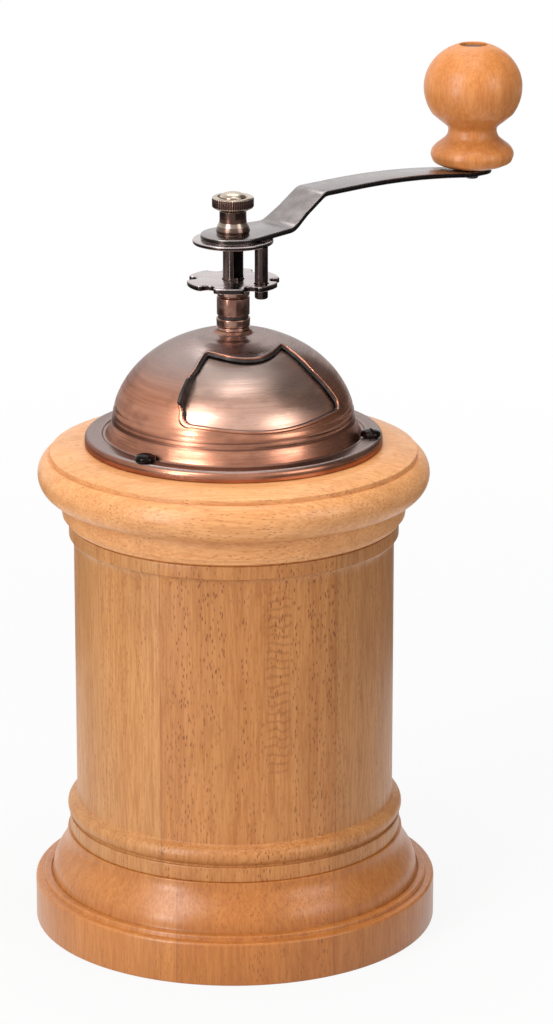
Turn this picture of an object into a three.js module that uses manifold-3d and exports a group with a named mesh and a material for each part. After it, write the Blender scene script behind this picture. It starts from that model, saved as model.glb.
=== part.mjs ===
// Manual coffee grinder: a turned beech column, a copper dome hopper and a crank on top.
// Millimetres, +Z up. The origin is the middle of the base's underside, and -Y is the front.
// Azimuths are degrees from the front, turning towards +X.
import * as THREE from "three";
import { mergeVertices } from "three/addons/utils/BufferGeometryUtils.js";
import Module from "manifold-3d";

const wasm = await Module();
wasm.setup();

// Clearances and facets
const SLIP = 0.3; // gap left beside every curved neighbour
const FINE = 36; // facets round the large turned pieces
const MEDIUM = 20; // round knob, hubs and nuts
const SMALL = 10; // round screws and pins
const WALL_FACET = 8; // degrees of arc to a facet along the dome's wall
const CURVE_FACET = 14; // along the torus and the knob
const ROUND_FACET = 30; // along small rounds

// Base plinth
const PLINTH_R = 60.3;
const PLINTH_EDGE_H = 13.2;
const PLINTH_ROUND = 0.9;
const PLINTH_STEP_H = 1.3;
const OGEE_FOOT_R = 55.3;
const OGEE_TOP_R = 50.4;
const OGEE_SWELL = 0.5;
const OGEE_STEPS = 7;
const BASE_H = 28.1;
const TENON_H = 6;

// Column
const COLUMN_H = 96.3;
const COLUMN_R = 47.5;
const COLUMN_BORE_R = 38;
const FOOT_FILLET_R = 49.7;
const FOOT_FILLET_H = 4.7;
const BEAD_R = 50.3;
const BEAD_H = 5.8;
const BEAD_FROM = -55; // degrees of the bead's round that show
const BEAD_TO = 60;
const COLLAR_R = 48.9;
const COLLAR_H = 3.9;
const COVE_H = 3.4;

// Head ring
const RING_H = 23.3;
const RING_FOOT_R = 49.6;
const RING_NECK_R = 51.2;
const RING_NECK_H = 7.9;
const RING_NECK_FROM = -70; // degrees of its hollow round
const TORUS_R = 57.9;
const TORUS_W = 6.3;
const TORUS_H = 6.4;
const TORUS_MID_H = 14.6;
const TORUS_FROM = -74; // degrees of the torus's round that show
const TORUS_TO = 57;
const RING_STEP_R = 54.6;
const RING_STEP_H = 21.2;
const RING_CREST_R = 48;
const SPIGOT_H = 7.4;
const MOUTH_R = 33;
const THROAT_R = 17.5;
const THROAT_H = 1.8;

// Dome hopper
const SHEET = 0.9;
const FLANGE_H = 3.4;
const FLANGE_MARGIN = 0.25; // flange left bare on each side of a screw's head
const DOME_R = 36;
const DOME_RISE = 29;
const DOME_FOOT_H = 5.3;
const FOOT_ROLL = 1.4;
const FOOT_ANGLE = 3; // degrees up the wall where the foot's roll starts
const CREST_R = 14;
const CREST_LIFT = 0.4;
const FLARE_LOW = { inward: 0.5, up: 0.25 }; // shares of the way from crest to neck
const FLARE_HIGH = { inward: 0.8, up: 0.6 };
const FUNNEL_T = 0.8;
const FUNNEL_DROP = 12.6;

// Window in the dome, and the shutter that turns behind it
const WINDOW_FROM = -28.5;
const WINDOW_TO = 64.5;
const WINDOW_SILL_H = 7.5;
const WINDOW_TOP_H = 25.1;
const WINDOW_CORNER_AZ = 6.5;
const WINDOW_SILL_CORNER = 4;
const WINDOW_TOP_CORNER = 1.2;
const SHUTTER_GAP = 0.5;
const SHUTTER_T = 0.8;
const SHUTTER_LAP = 3.5; // degrees past each side of the window
const SHUTTER_SKIRT_H = 3.5;
const CROWN_DROP = 3.8;
const TAB_T = 1;
const TAB_REACH = 3.2;
const TAB_FROM_H = 13.8;
const TAB_TO_H = 20.6;

// Screws
const SLOT_W_SHARE = 0.28; // of the head's radius
const SLOT_FLOOR_SHARE = 0.55; // of the head's height
const HEAD_RIM_SHARE = 0.35; // of the head's height
const DOME_SCREW_COUNT = 3;
const DOME_SCREW_AZ = -38.7;
const DOME_SCREW_HEAD_R = 3;
const DOME_SCREW_HEAD_H = 2.2;
const DOME_SCREW_R = 1.4;
const DOME_SCREW_L = 12;

// Top bearing
const BUSH_R = 5;
const BUSH_HEAD_H = 3.6;
const BUSH_SHOULDER_R = 4.4;
const BUSH_THREAD_R = 3.9;
const BUSH_THREAD_H = 4.5;
const SHUTTER_WASHER_R = 7.2;
const SHUTTER_WASHER_T = 0.8;
const BUSH_NUT_FLATS = 10.4;
const BUSH_NUT_H = 3;
const THRUST_WASHER_R = 4.5;
const THRUST_WASHER_T = 0.7;

// Grinding star
const STAR_R = 13.6;
const STAR_LOBES = 6;
const STAR_NOTCH_R = 2.1;
const STAR_NOTCH_IN = 0.9; // rim to each notch's centre
const STAR_T = 1.6;
const STAR_HUB_R = 4.85;
const STAR_HUB_H = 9.1;
const STAR_HUB_GROOVE = 0.35;
const STAR_GROOVE_UP = 5.7;

// Spindle
const SHAFT_R = 3.05;
const SHAFT_FLAT = 2.3; // axis to each milled flat
const TAIL_R = 2.5;
const DRIVE_R = 2.3; // threaded end that turns the disc and arm
const DRIVE_FLAT = 1.7;
const DRIVE_ABOVE_ARM = 9.2;
const STOP_CLEAR_H = 10.8; // star to stopper disc
const FLAT_START_H = 1.5;
const CLIP_H = 8; // above the funnel's rim
const CLIP_T = 0.8;
const CLIP_R = 4.9;
const CLIP_MOUTH = 4.4;
const GROOVE_DEPTH = 0.55;
const SPRING_SEAT_R = 5.8;
const SPRING_SEAT_T = 0.8;
const SPRING_R = 4.6;
const SPRING_WIRE_R = 0.45;
const SPRING_TURNS = 7;
const SPRING_STEPS = 8; // rings of points to a turn
const SPRING_SIDES = 5;

// Burrs
const BURR_R = 20;
const BURR_H = 12.9;
const BURR_TEETH = 12;
const BURR_MOUTH_R = 12.4;
const BURR_EXIT_R = 16.1;
const BURR_TOOTH = 0.6;
const BURR_GAP = 0.9;
const TOOTH_WAVE = [0, 0.35, 0.75, 1]; // depth round one tooth: a slanting back, then a steep face
const INNER_BURR_DROP = 3;
const INNER_BURR_H = 14.4;
const INNER_BURR_TOP_R = 6.4;
const INNER_BURR_BULGE = 2.4; // power of its swelling outline
const INNER_BURR_TWIST = 50;
const INNER_BURR_STEPS = 6;
const OUTER_BURR_TWIST = -12;
const OUTER_BURR_STEPS = 3;
const CARRIER_R = 34;
const CARRIER_T = 2;
const CARRIER_HOLE_R = 17.6;
const CARRIER_SCREW_R = 1.5;
const CARRIER_SCREW_HEAD_R = 3;
const CARRIER_SCREW_HEAD_H = 1.8;
const CARRIER_SCREW_L = 11;
const CARRIER_SCREW_RING_R = 29;
const BRIDGE_W = 7;
const BRIDGE_T = 3;
const BRIDGE_BOSS_R = 5.6;
const BRIDGE_BOSS_H = 5;
const BRIDGE_SCREW_RING_R = 15.5;
const BRIDGE_SCREW_R = 0.8;
const BRIDGE_SCREW_HEAD_R = 1.6;
const BRIDGE_SCREW_HEAD_H = 1.2;
const BRIDGE_SCREW_L = 6;
const END_WASHER_R = 6;
const END_WASHER_T = 0.8;
const END_NUT_FLATS = 9;
const END_NUT_H = 4;
const SHAFT_TAIL = 1.2;

// Stopper disc and its pin
const STOP_DISC_T = 1.2;
const STOP_RIM = 1.7;
const PIN_AZ = 54;
const PIN_RING_R = 10.1;
const PIN_R = 1.95;
const PIN_L = 15.3;
const PIN_STEM_R = 0.9;

// Crank arm
const ARM_AZ = 133;
const ARM_L = 100;
const ARM_T = 1.6;
const ARM_W = 12;
const EYE_R = 9.5;
const ARM_TAPER_L = 24; // eye's centre to where the strip is its plain width
const ARM_RISE = 8.5;
const ARM_BEND_FROM = 18;
const ARM_BEND_TO = 31.5;
const ARM_BEND_RUN = 1.5; // of each bend's round, each way
const ARM_DROOP = 3.6;
const ARM_DROOP_FROM = 45;
const ARM_DROOP_STEPS = 4;
const ARM_CURVE_STEPS = 12;
const ARM_SEAT_L = 6; // flat under the knob, each way

// Cap nut
const CAP_FOOT_R = 4.85;
const CAP_FOOT_H = 1.5;
const CAP_WAIST_R = 3.85;
const CAP_WAIST_H = 5.7;
const CAP_HEAD_R = 6.1;
const CAP_HEAD_H = 3.5;
const CAP_CHAMFER = 1.1;
const CAP_BUTTON_R = 4.6;
const CAP_BUTTON_H = 2;

// Knob and its pin
const KNOB_BALL_R = 15.1;
const KNOB_BALL_RISE = 14.6;
const KNOB_BALL_H = 24.2;
const KNOB_WAIST_R = 7.9;
const KNOB_FOOT_R = 12.7;
const KNOB_FOOT_H = 6.6;
const KNOB_BEAD_ARC = 65; // degrees of the foot bead's round, each way
const KNOB_NECK_OUT = 0.25; // shares of the way out to the foot and up to the ball
const KNOB_NECK_UP = 0.4;
const KNOB_BORE_R = 2.2;
const KNOB_RECESS_R = 4.2;
const KNOB_RECESS_H = 3.4;
const KNOB_WASHER_R = 5.6;
const KNOB_WASHER_T = 0.8;
const KNOB_PIN_HEAD_H = 1.6;
const KNOB_RIVET_R = 2.4;
const KNOB_RIVET_H = 1;

// Heights and radii that follow from the sizes above
const columnTop = BASE_H + COLUMN_H;
const ringTop = columnTop + RING_H;
const spigotBottom = columnTop - SPIGOT_H;
const domeMid = ringTop + DOME_FOOT_H;
const neckTop = domeMid + DOME_RISE * Math.sqrt(1 - (BUSH_R / DOME_R) ** 2) + CREST_LIFT;
const crownTop = domeMid + DOME_RISE - CROWN_DROP;
const crownBottom = crownTop - SHUTTER_T;
const bushTop = neckTop + BUSH_HEAD_H;
const shoulderEnd = crownBottom - SLIP;
const bushNutTop = shoulderEnd - SHUTTER_WASHER_T;
const bushNutBottom = bushNutTop - BUSH_NUT_H;
const hubBottom = bushTop + THRUST_WASHER_T;
const starBottom = hubBottom + STAR_HUB_H;
const starTop = starBottom + STAR_T;
const stopBottom = starTop + STOP_CLEAR_H;
const eyeBottom = stopBottom + STOP_DISC_T;
const eyeTop = eyeBottom + ARM_T;
const shaftTop = eyeTop + DRIVE_ABOVE_ARM;
const burrTop = spigotBottom + BURR_H;
const throatBottom = burrTop + SLIP;
const coneBottom = throatBottom + THROAT_H;
const innerBurrBottom = spigotBottom - INNER_BURR_DROP;
const innerBurrTop = innerBurrBottom + INNER_BURR_H;
const endWasherBottom = innerBurrBottom - END_WASHER_T;
const shaftBottom = endWasherBottom - END_NUT_H - SHAFT_TAIL;
const clipBottom = ringTop + CLIP_H;
const springSeatBottom = clipBottom + CLIP_T;
const springSeatTop = springSeatBottom + SPRING_SEAT_T;
const boreR = SHAFT_R + SLIP;
const domeFootR = DOME_R + FOOT_ROLL;
const flangeR = domeFootR + 2 * (DOME_SCREW_HEAD_R + FLANGE_MARGIN);
const domeScrewRing = (flangeR + domeFootR) / 2;
const funnelRimR = domeFootR - SHEET - SLIP;
const stopDiscR = PIN_RING_R + STOP_RIM;
const seatTop = eyeTop + ARM_RISE - ARM_DROOP;
const knobBottom = seatTop + KNOB_WASHER_T;
const knobTopH = KNOB_BALL_H + KNOB_BALL_RISE * Math.sqrt(1 - (KNOB_RECESS_R / KNOB_BALL_R) ** 2);
const knobPinR = KNOB_BORE_R - SLIP;

// Materials
const BEECH = { color: 0xc98d58, roughness: 0.5, metalness: 0 };
const BEECH_HEAD = { color: 0xe2a570, roughness: 0.45, metalness: 0 };
const BEECH_BASE = { color: 0xbd7c46, roughness: 0.45, metalness: 0 };
const COPPER = { color: 0xc08a74, roughness: 0.35, metalness: 1 };
const DARK_BRONZE = { color: 0x3a2a24, roughness: 0.4, metalness: 1 };
const STEEL = { color: 0xb9b3b0, roughness: 0.3, metalness: 1 };
const BURR_IRON = { color: 0x5c5b5a, roughness: 0.6, metalness: 0.9 };
const TINPLATE = { color: 0xa8a6a0, roughness: 0.4, metalness: 0.9 };

// Merges shared corners and drops the flat faces that meet on an axis
function welded(geometry) {
  geometry.deleteAttribute("normal");
  geometry.deleteAttribute("uv");
  const merged = mergeVertices(geometry, 1e-4);
  const index = merged.index.array;
  const kept = [];
  for (let i = 0; i < index.length; i += 3) {
    const [a, b, c] = [index[i], index[i + 1], index[i + 2]];
    if (a !== b && b !== c && c !== a) kept.push(a, b, c);
  }
  merged.setIndex(kept);
  return merged;
}

function solidOf(geometry) {
  return new wasm.Manifold(new wasm.Mesh({
    numProp: 3,
    vertProperties: Float32Array.from(geometry.attributes.position.array),
    triVerts: Uint32Array.from(geometry.index.array),
  }));
}

function geometryOf(solid) {
  const mesh = solid.getMesh();
  const geometry = new THREE.BufferGeometry();
  geometry.setAttribute("position", new THREE.BufferAttribute(Float32Array.from(mesh.vertProperties), 3));
  geometry.setIndex(Array.from(mesh.triVerts));
  return geometry;
}

function cut(body, ...tools) {
  return geometryOf(tools.reduce((solid, tool) => solid.subtract(solidOf(tool)), solidOf(body)));
}

function joined(body, ...others) {
  return geometryOf(others.reduce((solid, other) => solid.add(solidOf(other)), solidOf(body)));
}

function common(body, other) {
  return geometryOf(solidOf(body).intersect(solidOf(other)));
}

// A closed outline of [radius, height] points turned about Z, outer side listed upwards
function turned(outline, facets) {
  const points = outline.map(([r, z]) => new THREE.Vector2(r, z));
  if (outline[0][0] > 0) points.push(points[0].clone());
  return welded(new THREE.LatheGeometry(points, facets).rotateX(Math.PI / 2));
}

function rod(radius, from, to, facets = SMALL) {
  return turned([[0, from], [radius, from], [radius, to], [0, to]], facets);
}

function washer(bore, radius, from, to, facets = MEDIUM) {
  return turned([[bore, from], [radius, from], [radius, to], [bore, to]], facets);
}

function extruded(shape, from, to, curveSegments = 6) {
  const options = { depth: to - from, bevelEnabled: false, curveSegments };
  return welded(new THREE.ExtrudeGeometry(shape, options).translate(0, 0, from));
}

function block(width, depth, from, to) {
  return welded(new THREE.BoxGeometry(width, depth, to - from).translate(0, 0, (from + to) / 2));
}

function hexagon(flats, from, to) {
  const corner = flats / 2 / Math.cos(Math.PI / 6);
  return rod(corner, from, to, 6);
}

// Points of an ellipse's arc, angles in degrees
function arc(centre, radii, from, to, facet = ROUND_FACET) {
  const steps = Math.ceil(Math.abs(to - from) / facet);
  return Array.from({ length: steps + 1 }, (_, i) => {
    const angle = THREE.MathUtils.degToRad(from + ((to - from) * i) / steps);
    return [centre[0] + radii[0] * Math.cos(angle), centre[1] + radii[1] * Math.sin(angle)];
  });
}

// A point at an azimuth and radius
function at(azimuth, radius, z = 0) {
  const angle = THREE.MathUtils.degToRad(azimuth);
  return new THREE.Vector3(radius * Math.sin(angle), -radius * Math.cos(angle), z);
}

// The same geometry once at each of the places round the axis
function ringOf(geometry, count, firstAzimuth, radius) {
  return Array.from({ length: count }, (_, i) => {
    const place = at(firstAzimuth + (360 * i) / count, radius);
    return geometry.clone().translate(place.x, place.y, 0);
  });
}

function node(name, geometry, material) {
  const mesh = new THREE.Mesh(geometry, new THREE.MeshStandardMaterial(material));
  mesh.name = name;
  return mesh;
}

// A spindle-shaped prism with the shaft's two flats, for the shaft and every bore that it drives
function flatted(radius, flat, from, to) {
  return common(rod(radius, from, to, MEDIUM), block(2 * flat, 3 * radius, from, to));
}

// Stacked rings of points closed by a fan at each end
function lofted(rings) {
  const count = rings[0].length;
  const centres = [rings[0], rings.at(-1)].map((ring) => new THREE.Vector3(0, 0, ring[0].z));
  const positions = [...rings.flat(), ...centres].flatMap((p) => [p.x, p.y, p.z]);
  const bottomCentre = rings.length * count;
  const faces = [];
  for (let j = 0; j < count; j += 1) {
    const next = (j + 1) % count;
    for (let i = 0; i < rings.length - 1; i += 1) {
      const [low, high] = [i * count, (i + 1) * count];
      faces.push(low + j, low + next, high + next, low + j, high + next, high + j);
    }
    const top = (rings.length - 1) * count;
    faces.push(bottomCentre, next, j, bottomCentre + 1, top + j, top + next);
  }
  const geometry = new THREE.BufferGeometry();
  geometry.setAttribute("position", new THREE.Float32BufferAttribute(positions, 3));
  geometry.setIndex(faces);
  return geometry;
}

// Base plinth: edge, groove, ogee, and the tenon that closes the column's bore
function plinth() {
  const stepTop = PLINTH_EDGE_H + PLINTH_STEP_H;
  const grooveR = (PLINTH_R + OGEE_FOOT_R) / 2;
  const ogee = Array.from({ length: OGEE_STEPS + 1 }, (_, i) => {
    const t = i / OGEE_STEPS;
    const radius = THREE.MathUtils.lerp(OGEE_FOOT_R, OGEE_TOP_R, t);
    return [radius + OGEE_SWELL * Math.sin(2 * Math.PI * t), THREE.MathUtils.lerp(stepTop + SLIP, BASE_H, t)];
  });
  return turned([
    [0, 0],
    [PLINTH_R - SLIP, 0],
    [PLINTH_R, SLIP],
    ...arc([PLINTH_R - PLINTH_ROUND, PLINTH_EDGE_H - PLINTH_ROUND], [PLINTH_ROUND, PLINTH_ROUND], 0, 90),
    [grooveR, PLINTH_EDGE_H],
    [grooveR - SLIP, stepTop],
    ...ogee,
    [COLUMN_BORE_R - SLIP, BASE_H],
    [COLUMN_BORE_R - SLIP, BASE_H + TENON_H],
    [0, BASE_H + TENON_H],
  ], FINE);
}

// Column: foot fillet, bead, plain shaft and a coved collar under the head ring
function column() {
  const beadBottom = BASE_H + FOOT_FILLET_H;
  const beadTop = beadBottom + BEAD_H;
  const collarBottom = columnTop - COLLAR_H;
  const beadCentre = [COLUMN_R, (beadBottom + beadTop) / 2];
  const coveCentre = [COLLAR_R, collarBottom - COVE_H];
  return turned([
    [COLUMN_BORE_R, BASE_H],
    [FOOT_FILLET_R, BASE_H],
    [FOOT_FILLET_R, beadBottom],
    ...arc(beadCentre, [BEAD_R - COLUMN_R, BEAD_H / 2], BEAD_FROM, BEAD_TO),
    [COLUMN_R, beadTop],
    ...arc(coveCentre, [COLUMN_R - COLLAR_R, COVE_H], 0, 90),
    [COLLAR_R, collarBottom + COLLAR_H - SLIP],
    [COLLAR_R - SLIP, columnTop],
    [COLUMN_BORE_R, columnTop],
  ], FINE);
}

// Head ring: spigot into the column, neck, torus and gently crowned top, bored for burr and hopper
function headRing() {
  const neckCentre = [RING_FOOT_R, columnTop + RING_NECK_H];
  const torusCentre = [TORUS_R - TORUS_W, columnTop + TORUS_MID_H];
  const outline = [
    [BURR_R + SLIP, spigotBottom],
    [COLUMN_BORE_R - SLIP, spigotBottom],
    [COLUMN_BORE_R - SLIP, columnTop],
    [RING_FOOT_R, columnTop],
    ...arc(neckCentre, [RING_NECK_R - RING_FOOT_R, RING_NECK_H], RING_NECK_FROM, 0),
    ...arc(torusCentre, [TORUS_W, TORUS_H], TORUS_FROM, TORUS_TO, CURVE_FACET),
    [RING_STEP_R, columnTop + RING_STEP_H],
    [RING_CREST_R, ringTop],
    [MOUTH_R, ringTop],
    [THROAT_R, coneBottom],
    [THROAT_R, throatBottom],
    [BURR_R + SLIP, throatBottom],
  ];
  const domeHole = rod(DOME_SCREW_R + SLIP, ringTop + FLANGE_H - DOME_SCREW_L, ringTop + SLIP);
  const carrierHoleTop = spigotBottom - CARRIER_T + CARRIER_SCREW_L;
  const carrierHole = rod(CARRIER_SCREW_R + SLIP, spigotBottom - SLIP, carrierHoleTop);
  return cut(
    turned(outline, FINE),
    ...ringOf(domeHole, DOME_SCREW_COUNT, DOME_SCREW_AZ, domeScrewRing),
    ...ringOf(carrierHole, DOME_SCREW_COUNT, 0, CARRIER_SCREW_RING_R),
  );
}

// The rounded window outline, swept along horizontal radii right through the dome
function windowTool() {
  const [left, right] = [WINDOW_FROM + WINDOW_CORNER_AZ, WINDOW_TO - WINDOW_CORNER_AZ];
  const [sill, top] = [domeMid + WINDOW_SILL_H, domeMid + WINDOW_TOP_H];
  const low = [WINDOW_CORNER_AZ, WINDOW_SILL_CORNER];
  const high = [WINDOW_CORNER_AZ, WINDOW_TOP_CORNER];
  const outline = [
    ...arc([left, sill + WINDOW_SILL_CORNER], low, 180, 270),
    ...arc([right, sill + WINDOW_SILL_CORNER], low, 270, 360),
    ...arc([right, top - WINDOW_TOP_CORNER], high, 0, 90),
    ...arc([left, top - WINDOW_TOP_CORNER], high, 90, 180),
  ];
  const count = outline.length;
  const caps = THREE.ShapeUtils.triangulateShape(outline.map(([a, z]) => new THREE.Vector2(a, z)), []);
  const inner = outline.map(([a, z]) => at(a, SHAFT_R, z));
  const outer = outline.map(([a, z]) => at(a, 3 * DOME_R, z));
  const faces = caps.flatMap(([a, b, c]) => [a, c, b, a + count, b + count, c + count]);
  for (let i = 0; i < count; i += 1) {
    const next = (i + 1) % count;
    faces.push(i + count, i, next, i + count, next, next + count);
  }
  const geometry = new THREE.BufferGeometry();
  const positions = [...inner, ...outer].flatMap((p) => [p.x, p.y, p.z]);
  geometry.setAttribute("position", new THREE.Float32BufferAttribute(positions, 3));
  geometry.setIndex(faces);
  return geometry;
}

// Spun dome: hollow flange, elliptical wall and a shallow flare round the neck
function dome() {
  const crest = THREE.MathUtils.radToDeg(Math.acos(CREST_R / DOME_R));
  const crestZ = domeMid + DOME_RISE * Math.sin(THREE.MathUtils.degToRad(crest));
  const flare = [
    ...[FLARE_LOW, FLARE_HIGH].map(({ inward, up }) =>
      [THREE.MathUtils.lerp(CREST_R, BUSH_R, inward), THREE.MathUtils.lerp(crestZ, neckTop, up)]),
    [BUSH_R, neckTop],
  ];
  const holeR = BUSH_SHOULDER_R + SLIP;
  const wallInner = arc([0, domeMid], [DOME_R - SHEET, DOME_RISE - SHEET], FOOT_ANGLE, crest, WALL_FACET);
  const outline = [
    [flangeR - SHEET, ringTop],
    [flangeR, ringTop],
    [flangeR, ringTop + FLANGE_H - SHEET],
    [flangeR - SHEET, ringTop + FLANGE_H],
    [domeFootR, ringTop + FLANGE_H],
    ...arc([0, domeMid], [DOME_R, DOME_RISE], FOOT_ANGLE, crest, WALL_FACET),
    ...flare,
    [holeR, neckTop],
    [holeR, neckTop - SHEET],
    ...flare.slice(0, 2).reverse().map(([r, z]) => [r, z - SHEET]),
    ...wallInner.reverse(),
    [domeFootR - SHEET, ringTop + FLANGE_H - SHEET],
    [flangeR - SHEET, ringTop + FLANGE_H - SHEET],
  ];
  const screwHole = rod(DOME_SCREW_R + SLIP, ringTop + SLIP, ringTop + FLANGE_H + SHEET);
  return cut(
    turned(outline, FINE),
    windowTool(),
    ...ringOf(screwHole, DOME_SCREW_COUNT, DOME_SCREW_AZ, domeScrewRing),
  );
}

// Funnel: a rim on the ring's top and a cone down into its mouth
function funnel() {
  const slope = (MOUTH_R - THROAT_R) / (ringTop - coneBottom);
  const side = SLIP * Math.hypot(1, slope);
  const lip = ringTop - FUNNEL_DROP;
  const radiusAt = (z) => THROAT_R + (z - coneBottom) * slope - side;
  return turned([
    [radiusAt(lip) - FUNNEL_T, lip],
    [radiusAt(lip), lip],
    [radiusAt(ringTop), ringTop],
    [funnelRimR, ringTop],
    [funnelRimR, ringTop + FUNNEL_T],
    [radiusAt(ringTop) - FUNNEL_T, ringTop + FUNNEL_T],
  ], FINE);
}

// A flat plate standing on a radius: [radius, height] points, thick across the azimuth
function radialPlate(outline, thickness, azimuth) {
  const shape = new THREE.Shape(outline.map(([r, z]) => new THREE.Vector2(r, z)));
  const plate = new THREE.ExtrudeGeometry(shape, { depth: thickness, bevelEnabled: false });
  plate.translate(0, 0, -thickness / 2);
  const outward = at(azimuth, 1);
  const up = new THREE.Vector3(0, 0, 1);
  plate.applyMatrix4(new THREE.Matrix4().makeBasis(outward, up, outward.clone().cross(up)));
  return welded(plate);
}

// Shutter: a slice of a smaller dome hung from a flat crown, with a thumb tab through the window
function shutter() {
  const [outerR, outerRise] = [DOME_R - SHEET - SHUTTER_GAP, DOME_RISE - SHEET - SHUTTER_GAP];
  const [innerR, innerRise] = [outerR - SHUTTER_T, outerRise - SHUTTER_T];
  const angleAt = (height, rise) => THREE.MathUtils.radToDeg(Math.asin(height / rise));
  const from = (rise) => angleAt(SHUTTER_SKIRT_H, rise);
  const pivotR = BUSH_SHOULDER_R + SLIP;
  const wall = (radius, rise, top) =>
    arc([0, domeMid], [radius, rise], from(rise), angleAt(top - domeMid, rise), WALL_FACET);
  const outerWall = wall(outerR, outerRise, crownTop);
  const innerWall = wall(innerR, innerRise, crownBottom);
  const pivot = [[pivotR, crownTop], [pivotR, crownBottom]];
  const shell = turned([...outerWall, ...pivot, ...innerWall.reverse()], FINE);
  const [a0, a1] = [WINDOW_FROM - SHUTTER_LAP, WINDOW_TO + SHUTTER_LAP];
  const reach = 2 * DOME_R;
  const corners = [at(0, 0), at(a0, reach), at((a0 + a1) / 2, 1.5 * reach), at(a1, reach)];
  const sector = new THREE.Shape(corners.map((corner) => new THREE.Vector2(corner.x, corner.y)));
  const wedge = extruded(sector, domeMid, crownTop + SLIP);
  const crown = rod(innerWall[0][0], domeMid + WINDOW_TOP_H - CROWN_DROP, crownTop + SLIP, FINE);
  const shellAt = (h) => (outerR - SHUTTER_T / 2) * Math.sqrt(1 - (h / (outerRise - SHUTTER_T / 2)) ** 2);
  const domeAt = (h) => DOME_R * Math.sqrt(1 - (h / DOME_RISE) ** 2) + TAB_REACH;
  const tabMid = (TAB_FROM_H + TAB_TO_H) / 2;
  const tab = radialPlate([
    [shellAt(TAB_FROM_H), domeMid + TAB_FROM_H],
    [domeAt(TAB_FROM_H) - TAB_T, domeMid + TAB_FROM_H],
    [domeAt(TAB_FROM_H + TAB_T), domeMid + TAB_FROM_H + TAB_T],
    [domeAt(tabMid), domeMid + tabMid],
    [domeAt(TAB_TO_H - TAB_T), domeMid + TAB_TO_H - TAB_T],
    [domeAt(TAB_TO_H) - TAB_T, domeMid + TAB_TO_H],
    [shellAt(TAB_TO_H), domeMid + TAB_TO_H],
    [shellAt(tabMid), domeMid + tabMid],
  ], TAB_T, tabAzimuth());
  return joined(common(shell, joined(wedge, crown)), tab);
}

// The closed shutter's tab stands just inside the window's left edge
function tabAzimuth() {
  const edgeR = DOME_R * Math.sqrt(1 - (TAB_TO_H / DOME_RISE) ** 2) - TAB_T;
  return WINDOW_FROM + THREE.MathUtils.radToDeg(Math.asin((TAB_T / 2 + SLIP) / edgeR));
}

// Slotted screw, its head's underside at z = 0 and its shank pointing down
function screw(headR, headH, shankR, length) {
  const body = turned([
    [0, -length],
    [shankR / 2, -length],
    [shankR, shankR - length],
    [shankR, 0],
    [headR, 0],
    ...arc([0, headH * HEAD_RIM_SHARE], [headR, headH * (1 - HEAD_RIM_SHARE)], 0, 90),
  ], SMALL);
  return cut(body, block(3 * headR, headR * SLOT_W_SHARE, headH * SLOT_FLOOR_SHARE, 2 * headH));
}

// Bush: flange on the dome's neck, shoulder through dome and shutter, thread for the nut
function bush() {
  const end = shoulderEnd - BUSH_THREAD_H;
  return turned([
    [boreR, end],
    [BUSH_THREAD_R, end],
    [BUSH_THREAD_R, shoulderEnd],
    [BUSH_SHOULDER_R, shoulderEnd],
    [BUSH_SHOULDER_R, neckTop],
    [BUSH_R, neckTop],
    [BUSH_R, bushTop - SLIP],
    [BUSH_R - SLIP, bushTop],
    [boreR, bushTop],
  ], MEDIUM);
}

// Star nut: a plate with round notches on a grooved hub, bored for the shaft and the stopper pin
function star() {
  const grooveZ = hubBottom + STAR_GROOVE_UP;
  const hub = turned([
    [0, hubBottom],
    [STAR_HUB_R - SLIP, hubBottom],
    [STAR_HUB_R, hubBottom + SLIP],
    [STAR_HUB_R, grooveZ],
    [STAR_HUB_R - STAR_HUB_GROOVE, grooveZ + STAR_HUB_GROOVE],
    [STAR_HUB_R, grooveZ + 2 * STAR_HUB_GROOVE],
    [STAR_HUB_R, starBottom + STAR_T / 2],
    [0, starBottom + STAR_T / 2],
  ], MEDIUM);
  const notch = rod(STAR_NOTCH_R, starBottom - 1, starTop + 1);
  const firstNotch = PIN_AZ + 180 / STAR_LOBES;
  const place = at(PIN_AZ, PIN_RING_R);
  return cut(
    joined(hub, rod(STAR_R, starBottom, starTop, FINE)),
    rod(boreR, hubBottom - 1, starTop + 1, MEDIUM),
    rod(PIN_R + SLIP, starBottom - 1, starTop + 1).translate(place.x, place.y, 0),
    ...ringOf(notch, STAR_LOBES, firstNotch, STAR_R - STAR_NOTCH_IN),
  );
}

// Shaft: flats for burr and handle, a threaded end each way and a clip groove inside the hopper
function shaft() {
  const grooveR = SHAFT_R - GROOVE_DEPTH;
  const body = turned([
    [0, shaftBottom],
    [TAIL_R - SLIP, shaftBottom],
    [TAIL_R, shaftBottom + SLIP],
    [TAIL_R, innerBurrBottom],
    [SHAFT_R, innerBurrBottom],
    [SHAFT_R, clipBottom - SLIP],
    [grooveR, clipBottom - SLIP],
    [grooveR, springSeatBottom],
    [SHAFT_R, springSeatBottom],
    [SHAFT_R, stopBottom],
    [DRIVE_R, stopBottom],
    [DRIVE_R, shaftTop - SLIP],
    [DRIVE_R - SLIP, shaftTop],
    [0, shaftTop],
  ], MEDIUM);
  return cut(
    body,
    ...cheeks(SHAFT_FLAT, shaftBottom - 1, innerBurrTop + SLIP),
    ...cheeks(SHAFT_FLAT, starTop + FLAT_START_H, shaftTop + 1),
    ...cheeks(DRIVE_FLAT, stopBottom, shaftTop + 1),
  );
}

// The two blocks that mill a pair of flats
function cheeks(flat, from, to) {
  const cheek = block(SHAFT_R, 3 * SHAFT_R, from, to);
  return [1, -1].map((side) => cheek.clone().translate(side * (flat + SHAFT_R / 2), 0, 0));
}

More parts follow.
